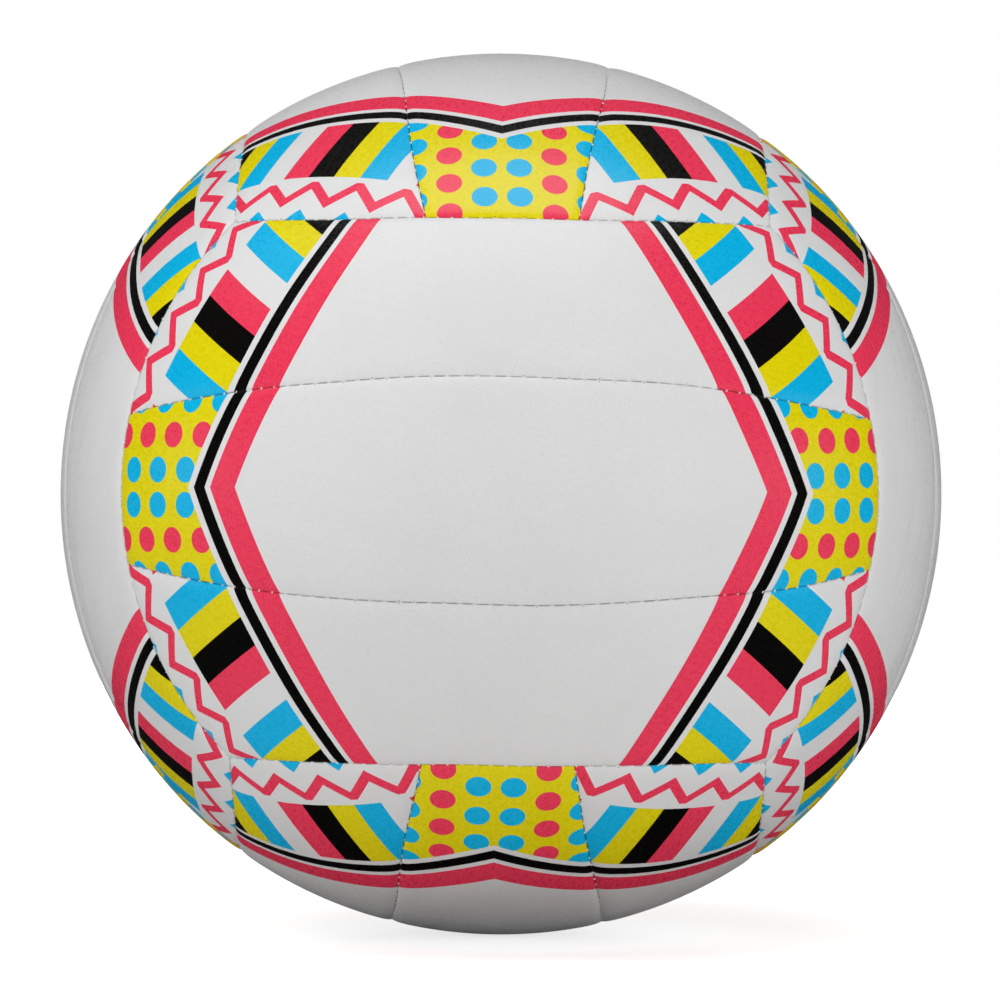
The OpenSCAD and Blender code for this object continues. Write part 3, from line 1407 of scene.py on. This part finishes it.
@dataclass(frozen=True)
class RubberFinish:
    """Moulded rubber with a faint bloom of powder."""

    name: str
    colour: Colour
    bloom: Colour
    bloom_share: float
    rough: float
    rough_change: float = 0.16
    specular: float = 0.4
    cloud_scale: float = 140.0
    bloom_range: tuple[float, float] = (0.35, 0.75)
    grain_scale: float = 2200.0
    grain_depth: float = 0.01 * MM

    def material(self, effects: Effects) -> bpy.types.Material:
        """Make the rubber.

        Args:
            effects: the shared effect groups.

        Returns:
            The material.
        """
        rubber = Surface(self.name)
        cloud, grain = (
            rubber.place(effects.mottle, Spot=rubber.spot, Scale=scale).outputs["Noise"]
            for scale in (self.cloud_scale, self.grain_scale)
        )
        dust = rubber.calc("MULTIPLY", rubber.fade(cloud, *self.bloom_range), self.bloom_share)
        rubber.set("Base Color", rubber.tint(dust, self.colour, self.bloom))
        smoothest = self.rough - self.rough_change / 2
        rubber.set("Roughness", rubber.calc("MULTIPLY_ADD", cloud, self.rough_change, smoothest))
        rubber.set("Specular IOR Level", self.specular)
        rubber.relief(grain, self.grain_depth)
        return rubber.material


# Sub-assemblies


def settle(piece: bpy.types.Object, body: Body, nodes: list[str]) -> None:
    """Let a piece ride on a body and stand for some CAD nodes.

    Args:
        piece: the piece.
        body: the body that it moves with.
        nodes: the CAD nodes that it replaces.
    """
    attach(piece, body.value)
    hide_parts(*nodes)
    LOG.info("%s rides on %s and replaces %s", piece.name, body.value, ", ".join(nodes))


def block_places(directions: np.ndarray, ball_r: float) -> np.ndarray:
    """Give where on a block some directions lie.

    Args:
        directions: unit vectors in the block's axes.
        ball_r: the ball's radius.

    Returns:
        Places in millimetres, along the block and across it.
    """
    along = np.arctan2(directions[..., 0], directions[..., 2])
    across = np.arcsin(np.clip(directions[..., 1], -1, 1))
    return np.stack([along, across], axis=-1) * ball_r / MM


@dataclass
class Cover:
    """The eighteen printed leather strips, each with its edges turned in."""

    layout: CoverLayout
    roll: SeamRoll = field(default_factory=SeamRoll)
    finish: LeatherFinish = field(default_factory=LeatherFinish)
    skin: float = 0.9 * MM
    crack: float = 0.012 * MM
    gape: float = 0.09 * MM
    flange: float = 3.9 * MM
    lead_mm: tuple[float, ...] = (0.13, 0.2, 0.29, 0.42, 0.6, 0.95, 1.5, 2.4, 3.6, 5.0)
    step_across: float = 2.6 * MM
    step_along: float = 0.62 * MM
    valve_dip: float = 0.35 * MM
    valve_dip_reach: float = 4.0 * MM
    shift_mm: float = 0.5
    seed: int = 18
    block_beats: int = 1000
    row_beats: int = 300
    seam_beats: int = 100

    def build(self, effects: Effects) -> list[bpy.types.Object]:
        """Make and dress the strips.

        Args:
            effects: the shared effect groups.

        Returns:
            The strips.
        """
        leather = {row: self.finish.material(effects, row) for row in Row}
        chance = np.random.default_rng(self.seed)
        made = []
        for block in Block:
            for row in Row:
                piece = self.panel(block, row, chance.uniform(-self.shift_mm, self.shift_mm, 2))
                piece.data.materials.append(leather[row])
                settle(piece, Body.BALL, [f"panel_{block.strip_label(row)}"])
                made.append(piece)
        return made

    def panel(self, block: Block, row: Row, shift: np.ndarray) -> bpy.types.Object:
        """Make one strip as a closed tray.

        Args:
            block: the strip's block.
            row: its row in the block.
            shift: how far its print is off, in millimetres.

        Returns:
            The strip.
        """
        strip = self.layout.strip(row)
        ball_r = self.layout.ball_r
        lead = [self.crack, *(step * MM for step in self.lead_mm)]
        across = spread(strip.width(), self.step_across, lead)
        along = 2 * spread(strip.length(), self.step_along, lead) - 1
        outer = self.open_lips(strip, strip.directions(across, along))
        side = self.skin / strip.width()
        tip = 2 * self.skin / strip.length()
        inner = strip.directions(side + (1 - 2 * side) * across, (1 - tip) * along)
        rim = rim_order(len(across), len(along))
        outer_rim = outer.reshape(-1, 3)[rim]
        inner_rim = inner.reshape(-1, 3)[rim]
        gaps = strip.gaps(outer)
        beats = self.layout.beats(strip, outer)
        slacks = self.roll.slack(beats)
        depth = self.roll.drop(gaps, slacks) + self.roll.pinch(gaps, slacks)
        if block.holds_valve(row):
            depth = depth + self.dip(outer)
        inner_gaps = [np.clip(gap - self.skin, 0, None) for gap in strip.gaps(inner)]
        inner_depth = self.skin + self.roll.even_drop(inner_gaps)
        turned = block.turn(outer)
        outer_r = ball_r + self.layout.swell(outer) - depth
        inner_r = ball_r + self.layout.swell(inner) - inner_depth
        foot_r = ball_r + self.layout.swell(outer_rim) - self.flange
        points = np.concatenate(
            [
                (turned * outer_r[..., None] + self.layout.sway(turned)).reshape(-1, 3),
                block.turn(outer_rim) * foot_r[:, None],
                block.turn(inner_rim) * foot_r[:, None],
                (block.turn(inner) * inner_r[..., None]).reshape(-1, 3),
            ]
        )
        flat = np.concatenate([outer.reshape(-1, 3), outer_rim, inner_rim, inner.reshape(-1, 3)])
        faces = closed_quads(len(across), len(along), 2).tolist()
        places = block_places(flat, ball_r) + shift
        piece = add_mesh(f"cover_{block.strip_label(row)}", points, faces, places)
        first = self.block_beats * list(Block).index(block) + self.row_beats * list(Row).index(row)
        self.mark_seams(piece.data, first, gaps, beats)
        if block.holds_valve(row):
            pierce(piece, self.layout.valve_hole_r)
            self.dress_hole(piece.data, block, shift)
        return piece

    def mark_seams(
        self, mesh: bpy.types.Mesh, first: int, gaps: list[np.ndarray], beats: list[np.ndarray]
    ) -> None:
        """Store how far each outer point lies from its nearest seam, and where along that seam.

        Args:
            mesh: the strip's mesh, with its outer points first.
            first: the count of stitches at which this strip starts, apart from all others.
            gaps: the distances to each seam.
            beats: the places along each seam, counted in stitches.
        """
        nearest = np.argmin(gaps, axis=0)[None]
        counted = [beat + first + self.seam_beats * number for number, beat in enumerate(beats)]
        for name, values in ((SEAM_GAP, np.array(gaps) / MM), (SEAM_BEAT, np.array(counted))):
            near = np.take_along_axis(values, nearest, axis=0).ravel()
            padded = np.concatenate([near, np.zeros(len(mesh.vertices) - len(near))])
            store = mesh.attributes.new(name, "FLOAT", "POINT")
            store.data.foreach_set("value", padded.astype(np.float32))

    def open_lips(self, strip: Strip, outer: np.ndarray) -> np.ndarray:
        """Draw the strip's two long edges back between the stitches.

        Args:
            strip: the strip's outline.
            outer: the unit vectors of its grid.

        Returns:
            The changed unit vectors.
        """
        changed = outer.copy()
        slacks = self.roll.slack(self.layout.beats(strip, outer))
        for edge, beside, slack in ((0, 1, slacks[0]), (-1, -2, slacks[1])):
            inward = outer[beside] - outer[edge]
            inward = inward / np.linalg.norm(inward, axis=-1, keepdims=True)
            changed[edge] += inward * (self.gape / self.layout.ball_r * slack[edge])[:, None]
        return changed / np.linalg.norm(changed, axis=-1, keepdims=True)

    def dress_hole(self, mesh: bpy.types.Mesh, block: Block, shift: np.ndarray) -> None:
        """Give the wall of the valve's hole the print of the leather round it, and keep the painted seam
        shade off it.

        Args:
            mesh: the pierced strip.
            block: the strip's block.
            shift: how far its print is off, in millimetres.
        """
        count = len(mesh.vertices)
        points = np.zeros(count * 3)
        mesh.vertices.foreach_get("co", points)
        points = points.reshape(count, 3)
        directions = block.turn_back(points / np.linalg.norm(points, axis=-1, keepdims=True))
        lay_places(mesh, block_places(directions, self.layout.ball_r) + shift)
        values = np.zeros(count, dtype=np.float32)
        store = mesh.attributes[SEAM_GAP]
        store.data.foreach_get("value", values)
        hole_r = self.layout.valve_hole_r
        values[np.hypot(points[:, 0], points[:, 2]) < hole_r + MM] = hole_r / MM
        store.data.foreach_set("value", values)

    def dip(self, directions: np.ndarray) -> np.ndarray:
        """Give how far the leather dips round the valve's hole.

        Args:
            directions: unit vectors in the block's axes.

        Returns:
            Added depths.
        """
        away = self.layout.ball_r * np.arccos(np.clip(directions[..., 2], -1, 1))
        share = np.clip(1 - (away - self.layout.valve_hole_r) / self.valve_dip_reach, 0, 1)
        return self.valve_dip * share**2


@dataclass
class Stitching:
    """The white stitches that bridge the seams."""

    layout: CoverLayout
    finish: ThreadFinish = field(default_factory=ThreadFinish)
    thread_r: float = 0.21 * MM
    bridge_depth: float = 0.6 * MM
    half_span: float = 0.5 * MM
    foot_depth: float = 1.1 * MM
    bend_power: float = 2.6
    slant: float = 0.25
    jitter: float = 0.015
    lean: float = 0.12
    lift: float = 0.06 * MM
    sides: int = 8
    steps: int = 9
    turn_step: float = 0.01
    seed: int = 64

    def build(self, effects: Effects) -> list[bpy.types.Object]:
        """Make and dress the stitches of each block.

        Args:
            effects: the shared effect groups.

        Returns:
            Two pieces for each block.
        """
        yarn = self.finish.material(effects)
        chance = np.random.default_rng(self.seed)
        made = []
        for block in Block:
            for label, seam, count in (
                ("strip", self.layout.split_seam(), self.layout.strip_stitches),
                ("edge", self.layout.side_seam(), self.layout.edge_stitches),
            ):
                mirror = SeamLine(-seam.offset, -seam.slope)
                parts = [self.seam_points(block, line, count, chance) for line in (seam, mirror)]
                points = np.concatenate(parts)
                places, faces = self.tube_map(2 * count)
                piece = add_mesh(f"stitches_{label}_{block.label()}", points, faces, places)
                piece.data.materials.append(yarn)
                settle(piece, Body.BALL, [f"{label}_thread_{block.label()}"])
                made.append(piece)
        return made

    def template(self) -> np.ndarray:
        """Give the points of one stitch: along the seam, across it and out of the ball.

        Returns:
            An array of steps, sides and 3.
        """
        share = np.linspace(-1, 1, self.steps)
        across = share * self.half_span
        bend = np.abs(share) ** self.bend_power
        out = -self.bridge_depth - (self.foot_depth - self.bridge_depth) * bend
        slope = np.gradient(out, across)
        turns = np.linspace(0, 2 * math.pi, self.sides, endpoint=False)
        length = np.sqrt(1 + slope**2)[:, None]
        along = self.thread_r * np.cos(turns)[None, :] + self.slant * across[:, None]
        side = across[:, None] - self.thread_r * np.sin(turns)[None, :] * slope[:, None] / length
        lift = out[:, None] + self.thread_r * np.sin(turns)[None, :] / length
        return np.stack(np.broadcast_arrays(along, side, lift), axis=-1)

    def seam_points(
        self, block: Block, seam: SeamLine, count: int, chance: np.random.Generator
    ) -> np.ndarray:
        """Give the points of all stitches on one seam.

        Args:
            block: the seam's block.
            seam: the seam.
            count: the number of stitches.
            chance: where small differences come from.

        Returns:
            The points in the ball's axes.
        """
        half = seam.half_turn()
        turn = (np.arange(count) + 0.5) / count * 2 * half - half
        turn = turn + chance.uniform(-self.jitter, self.jitter, count) * 2 * half / count
        out = block.turn(seam.points(turn))
        along = block.turn(seam.points(turn + self.turn_step) - seam.points(turn - self.turn_step))
        along = along / np.linalg.norm(along, axis=-1, keepdims=True)
        across = np.cross(out, along)
        form = self.template()[None]
        lean = chance.uniform(-self.lean, self.lean, count)[:, None, None]
        lift = chance.uniform(-self.lift, self.lift, count)[:, None, None]
        centre_r = self.layout.ball_r + self.layout.swell(out)
        centre = out * centre_r[:, None] + self.layout.sway(out)
        points = centre[:, None, None, :]
        points = points + (form[..., 0] + lean * form[..., 1])[..., None] * along[:, None, None, :]
        points = points + form[..., 1][..., None] * across[:, None, None, :]
        points = points + (form[..., 2] + lift)[..., None] * out[:, None, None, :]
        return points.reshape(-1, 3)

    def tube_map(self, count: int) -> tuple[np.ndarray, list[list[int]]]:
        """Give the finish places and the faces of some stitches.

        Args:
            count: the number of stitches.

        Returns:
            Places in millimetres and faces with closed ends.
        """
        lengths = np.linspace(0, 2 * self.half_span / MM, self.steps)
        girth = np.linspace(0, 2 * math.pi * self.thread_r / MM, self.sides, endpoint=False)
        one = np.stack(np.meshgrid(lengths, girth, indexing="ij"), axis=-1).reshape(-1, 2)
        ring = np.arange(self.sides)
        after = np.roll(ring, -1)
        faces: list[list[int]] = []
        for step in range(self.steps - 1):
            low = step * self.sides
            high = low + self.sides
            faces += np.stack([low + ring, low + after, high + after, high + ring], axis=-1).tolist()
        faces.append(ring[::-1].tolist())
        faces.append(((self.steps - 1) * self.sides + ring).tolist())
        size = self.steps * self.sides
        every = [[size * number + corner for corner in face] for number in range(count) for face in faces]
        return np.tile(one, (count, 1)), every


@dataclass
class Backing:
    """The sponge behind each strip and the cotton lining behind the sponge."""

    layout: CoverLayout
    roll: SeamRoll = field(default_factory=lambda: SeamRoll(roll_r=2.0 * MM))
    foam: FoamFinish = field(default_factory=FoamFinish)
    cloth: ClothFinish = field(default_factory=ClothFinish)
    inset: float = 1.1 * MM
    sponge_top: float = 1.05 * MM
    sponge_foot: float = 3.5 * MM
    lining_top: float = 3.6 * MM
    lining_foot: float = 4.0 * MM
    lead_mm: tuple[float, ...] = (0.0, 0.3, 0.8, 1.6, 3.0)
    step: float = 3.0 * MM
    crown_share: float = 0.85
    crease: float = 50.0

    def build(self, effects: Effects) -> list[bpy.types.Object]:
        """Make and dress the sponges and linings.

        Args:
            effects: the shared effect groups.

        Returns:
            The sponges and, block by block, the linings.
        """
        foam = self.foam.material(effects)
        cotton = self.cloth.material(effects)
        made = []
        for block in Block:
            sheets = []
            for row in Row:
                name = block.strip_label(row)
                sponge = self.layer(block, row, f"foam_{name}", self.sponge_top, self.sponge_foot, True)
                sponge.data.materials.append(foam)
                settle(sponge, Body.BALL, [f"sponge_{name}"])
                made.append(sponge)
                cloth_name = f"cotton_{name}"
                sheets.append(self.layer(block, row, cloth_name, self.lining_top, self.lining_foot, False))
            lining = self.joined(sheets, f"cotton_{block.label()}")
            lining.data.materials.append(cotton)
            settle(lining, Body.BALL, [f"lining_{block.label()}"])
            made.append(lining)
        return made

    def layer(
        self, block: Block, row: Row, name: str, top: float, foot: float, crowned: bool
    ) -> bpy.types.Object:
        """Make one layer behind a strip as a closed form.

        Args:
            block: the strip's block.
            row: its row in the block.
            name: the piece's name.
            top: how deep its outer side lies under the ball.
            foot: how deep its inner side lies.
            crowned: whether its outer side rounds off towards its edges.

        Returns:
            The layer.
        """
        strip = self.layout.strip(row)
        ball_r = self.layout.ball_r
        lead = [self.inset + step * MM for step in self.lead_mm]
        across = spread(strip.width(), self.step, lead)
        along = 2 * spread(strip.length(), self.step, lead) - 1
        outer = strip.directions(across, along)
        drop = np.zeros(outer.shape[:2])
        if crowned:
            gaps = [np.clip(gap - self.inset, 0, None) for gap in strip.gaps(outer)]
            drop = np.minimum(self.roll.even_drop(gaps), self.crown_share * (foot - top))
        round_r = ball_r + self.layout.swell(outer)
        upper = (block.turn(outer) * (round_r - top - drop)[..., None]).reshape(-1, 3)
        lower = (block.turn(outer) * (round_r - foot)[..., None]).reshape(-1, 3)
        faces = closed_quads(len(across), len(along), 0).tolist()
        places = np.tile(block_places(outer.reshape(-1, 3), ball_r), (2, 1))
        piece = add_mesh(name, np.concatenate([upper, lower]), faces, places)
        piece.data.set_sharp_from_angle(angle=math.radians(self.crease))
        if block.holds_valve(row):
            pierce(piece, self.layout.valve_hole_r)
        return piece

    def joined(self, sheets: list[bpy.types.Object], name: str) -> bpy.types.Object:
        """Join a block's lining sheets into one object.

        Args:
            sheets: the sheets.
            name: the object's name.

        Returns:
            The joined object.
        """
        first = sheets[0]
        with bpy.context.temp_override(active_object=first, selected_editable_objects=sheets):
            bpy.ops.object.join()
        first.name = name
        return first


@dataclass
class AirBladder:
    """The bladder and the patch round its valve, in the CAD's own shapes."""

    nodes: tuple[str, ...] = ("bladder", "valve_patch")
    finish: RubberFinish = RubberFinish(
        "bladder_rubber", srgb(34, 33, 34), srgb(120, 118, 116), 0.45, 0.55
    )

    def dress(self, frame: Frame, effects: Effects) -> list[bpy.types.Object]:
        """Give the CAD nodes their finish.

        Args:
            frame: the loaded CAD model.
            effects: the shared effect groups.

        Returns:
            The nodes' objects.
        """
        rubber = self.finish.material(effects)
        made = []
        for name in self.nodes:
            piece = frame["nodes"][name]
            piece.data.materials.clear()
            piece.data.materials.append(rubber)
            LOG.info("%s keeps its CAD shape", name)
            made.append(piece)
        return made


@dataclass
class Valve:
    """The valve's pale rubber seat and the black plug in it."""

    ball_r: float
    face_recess: float = 0.4 * MM
    neck_r: float = 5.0 * MM
    flange_r: float = 15.0 * MM
    flange_top: float = 99.1 * MM
    flange_foot: float = 97.9 * MM
    stem_r: float = 6.0 * MM
    stem_foot: float = 83.9 * MM
    plug_r: float = 3.0 * MM
    plug_fit: float = 0.05 * MM
    plug_foot: float = 79.9 * MM
    lip_r: float = 1.5 * MM
    lip_h: float = 2.0 * MM
    head_r: float = 3.8 * MM
    head_t: float = 1.6 * MM
    needle_r: float = 0.9 * MM
    funnel_r: float = 2.0 * MM
    funnel_h: float = 1.0 * MM
    channel_foot: float = 82.4 * MM
    edge: float = 0.3 * MM
    arc_steps: int = 4
    seat_finish: RubberFinish = RubberFinish(
        "valve_seat_rubber", srgb(206, 204, 198), srgb(170, 166, 158), 0.35, 0.5
    )
    plug_finish: RubberFinish = RubberFinish(
        "valve_plug_rubber", srgb(24, 23, 23), srgb(62, 60, 58), 0.3, 0.45
    )

    def build(self, effects: Effects) -> list[bpy.types.Object]:
        """Make and dress the seat and the plug.

        Args:
            effects: the shared effect groups.

        Returns:
            The seat and the plug.
        """
        seat = lathe("valve_seat", rounded(self.seat_profile(), self.edge, closed=True), closed=True)
        seat.data.materials.append(self.seat_finish.material(effects))
        settle(seat, Body.BALL, ["valve_housing"])
        plug = lathe("needle_plug", rounded(self.plug_profile(), self.edge, closed=False), closed=False)
        plug.data.materials.append(self.plug_finish.material(effects))
        settle(plug, Body.PLUG, ["valve_plug"])
        return [seat, plug]

    def face(self, radius: float) -> float:
        """Give the height of the valve's face at a radius."""
        return math.sqrt((self.ball_r - self.face_recess) ** 2 - radius**2)

    def arc(self, round_r: float, first: float, last: float) -> list[tuple[float, float]]:
        """Give points of a profile that follow the ball at a depth.

        Args:
            round_r: their distance from the ball's centre.
            first: the radius at which they start.
            last: the radius at which they end.

        Returns:
            Points of radius and height.
        """
        steps = [first + (last - first) * step / self.arc_steps for step in range(self.arc_steps + 1)]
        return [(radius, math.sqrt(round_r**2 - radius**2)) for radius in steps]

    def seat_profile(self) -> list[tuple[float, float]]:
        """Give the seat's profile: stem, flange, neck, the plug's socket and bore.

        Returns:
            Corners of radius and height.
        """
        bore_r = self.plug_r + self.plug_fit
        socket_r = self.head_r + self.plug_fit
        socket_foot = self.ball_r - self.face_recess - self.head_t - self.plug_fit
        return [
            (bore_r, self.stem_foot),
            (self.stem_r, self.stem_foot),
            *self.arc(self.flange_foot, self.stem_r, self.flange_r),
            *self.arc(self.flange_top, self.flange_r, self.neck_r),
            (self.neck_r, self.face(self.neck_r)),
            (socket_r, self.face(socket_r)),
            (socket_r, socket_foot),
            (bore_r, socket_foot),
        ]

    def plug_profile(self) -> list[tuple[float, float]]:
        """Give the plug's profile: lips, shaft, head, funnel and needle channel.

        Returns:
            Corners of radius and height.
        """
        head_foot = self.ball_r - self.face_recess - self.head_t
        funnel_foot = self.ball_r - self.face_recess - self.funnel_h
        return [
            (0.0, self.plug_foot),
            (self.lip_r, self.plug_foot),
            (self.plug_r, self.plug_foot + self.lip_h),
            (self.plug_r, head_foot),
            (self.head_r, head_foot),
            (self.head_r, self.face(self.head_r)),
            (self.funnel_r, self.face(self.funnel_r)),
            (self.needle_r, funnel_foot),
            (self.needle_r, self.channel_foot),
            (0.0, self.channel_foot),
        ]


# Studio


def outward(azimuth: float, elevation: float) -> Vector:
    """Give the direction from the ball to a place round it.

    Args:
        azimuth: degrees from the front, towards +X.
        elevation: degrees above the horizon.

    Returns:
        A unit vector.
    """
    turn = math.radians(azimuth)
    tilt = math.radians(elevation)
    return Vector((math.sin(turn) * math.cos(tilt), -math.cos(turn) * math.cos(tilt), math.sin(tilt)))


@dataclass(frozen=True)
class SoftBox:
    """A rectangular studio lamp that points at the ball, placed by its direction in degrees."""

    name: str
    azimuth: float
    elevation: float
    size: tuple[float, float]
    power: float
    glossy: bool = False
    distance: float = 1.7

    def hang(self) -> None:
        """Put the lamp into the scene."""
        lamp = bpy.data.lights.new(self.name, "AREA")
        lamp.shape = "RECTANGLE"
        lamp.size, lamp.size_y = self.size
        lamp.energy = self.power
        lamp_object = bpy.data.objects.new(self.name, lamp)
        away = outward(self.azimuth, self.elevation)
        lamp_object.location = away * self.distance
        lamp_object.rotation_mode = "QUATERNION"
        lamp_object.rotation_quaternion = (-away).to_track_quat("-Z", "Y")
        lamp_object.visible_glossy = self.glossy
        bpy.context.scene.collection.objects.link(lamp_object)


@dataclass
class Studio:
    """The pale floor, the white surroundings, the lamps and the camera."""

    ball_r: float
    distance: float = 1.113
    azimuth: float = 0.26
    elevation: float = -0.35
    roll: float = 0.47
    lens: float = 167.3
    shift: tuple[float, float] = (-0.001, -0.006)
    lamps: tuple[SoftBox, ...] = (
        SoftBox("front_fill", 0, 4, (0.9, 0.35), 7.2),
        SoftBox("front_left_fill", -40, 4, (0.9, 0.35), 3.2),
        SoftBox("front_right_fill", 40, 4, (0.9, 0.35), 3.0),
        SoftBox("left_card", -80, 4, (0.9, 0.35), 5.0),
        SoftBox("right_card", 80, 4, (0.9, 0.35), 8.0),
        SoftBox("left_top_box", -80, 52, (0.9, 0.9), 6.8),
        SoftBox("overhead_box", 0, 76, (1.5, 1.1), 12.6, glossy=True),
        SoftBox("back_box", 180, 60, (0.9, 0.9), 1.4),
        SoftBox("back_fill", 180, 8, (0.9, 0.5), 9.0),
    )
    surround: float = 0.02
    mirrored: float = 0.01
    floor_bounce: float = 0.68
    floor_mirrored: float = 0.03
    floor_lift: float = 0.68
    floor_seen: float = 0.9
    floor_rough: float = 0.9
    floor_reach: float = 6.0
    shadow_reach: tuple[float, float] = (0.3, 0.9)
    white_behind: float = 0.5
    sensor: float = 36.0

    def build(self) -> None:
        """Make the studio."""
        bpy.context.scene.view_settings.view_transform = "Standard"
        self.lay_floor()
        self.light_world()
        for lamp in self.lamps:
            lamp.hang()
        self.aim_camera()
        LOG.info("studio with %d lamps", len(self.lamps))

    def lay_floor(self) -> None:
        """Lay a floor that looks white and keeps the ball's shadow."""
        reach = self.floor_reach
        corners = np.array([[-reach, -reach, 0], [reach, -reach, 0], [reach, reach, 0], [-reach, reach, 0]])
        floor = add_mesh("floor", corners + [0, 0, -self.ball_r], [[0, 1, 2, 3]], corners[:, :2])
        paint = Surface("floor_paint")
        path = paint.add("ShaderNodeLightPath")
        seen = paint.calc("MAXIMUM", path.outputs["Is Camera Ray"], path.outputs["Is Transmission Ray"])
        levels = (self.floor_bounce, self.floor_mirrored, self.floor_seen)
        bounced, mirrored, plain = ((level, level, level, 1.0) for level in levels)
        unseen = paint.tint(path.outputs["Is Glossy Ray"], bounced, mirrored)
        paint.set("Base Color", paint.tint(seen, unseen, plain))
        paint.set("Roughness", self.floor_rough)
        paint.set("Specular IOR Level", 0.0)
        paint.set("Emission Color", PLAIN_WHITE)
        away = paint.add("ShaderNodeVectorMath", operation="LENGTH")
        paint.feed(away.inputs[0], paint.spot)
        far = paint.fade(away.outputs["Value"], *self.shadow_reach)
        lift = paint.calc("MULTIPLY_ADD", far, 1.0 - self.floor_lift, self.floor_lift)
        paint.set("Emission Strength", paint.calc("MULTIPLY", seen, lift))
        floor.data.materials.append(paint.material)
        floor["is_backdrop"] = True

    def light_world(self) -> None:
        """Make surroundings that are white behind the ball and dim elsewhere."""
        world = bpy.data.worlds.new("studio_air")
        world.use_nodes = True
        bpy.context.scene.world = world
        air = NodeSheet(world.node_tree)
        path = air.add("ShaderNodeLightPath")
        heading = air.split(air.add("ShaderNodeTexCoord").outputs["Generated"])
        behind = air.fade(heading["Y"], 0.0, self.white_behind)
        mirrored = air.calc("MULTIPLY", path.outputs["Is Glossy Ray"], self.mirrored)
        bent = air.calc("MAXIMUM", mirrored, path.outputs["Is Transmission Ray"])
        white = air.calc("MAXIMUM", path.outputs["Is Camera Ray"], air.calc("MULTIPLY", bent, behind))
        strength = air.calc("MULTIPLY_ADD", white, 1.0 - self.surround, self.surround)
        sky = world.node_tree.nodes["Background"]
        sky.inputs["Color"].default_value = PLAIN_WHITE
        air.feed(sky.inputs["Strength"], strength)

    def aim_camera(self) -> None:
        """Put the camera at the photograph's angle."""
        data = bpy.data.cameras.new("camera")
        data.lens = self.lens
        data.sensor_width = self.sensor
        data.shift_x, data.shift_y = self.shift
        camera = bpy.data.objects.new("camera", data)
        back = outward(self.azimuth, self.elevation)
        camera.location = back * self.distance
        camera.rotation_mode = "QUATERNION"
        aim = (-back).to_track_quat("-Z", "Y")
        camera.rotation_quaternion = aim @ Quaternion((0.0, 0.0, 1.0), math.radians(self.roll))
        bpy.context.scene.collection.objects.link(camera)
        bpy.context.scene.camera = camera


def main() -> None:
    """Build the ball on its CAD frame, dress it and set up the studio."""
    logging.basicConfig(level=logging.INFO, format="%(name)s: %(message)s")
    for old in list(bpy.data.objects):
        bpy.data.objects.remove(old)
    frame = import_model()
    cad_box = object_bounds()
    ball_r = (cad_box[1].x - cad_box[0].x) / 2
    layout = CoverLayout(ball_r)
    effects = make_effects()
    pieces = [
        *Cover(layout).build(effects),
        *Stitching(layout).build(effects),
        *Backing(layout).build(effects),
        *AirBladder().dress(frame, effects),
        *Valve(ball_r).build(effects),
    ]
    LOG.info("%d pieces in all", len(pieces))
    Studio(ball_r).build()


if __name__ == "__main__":
    main()
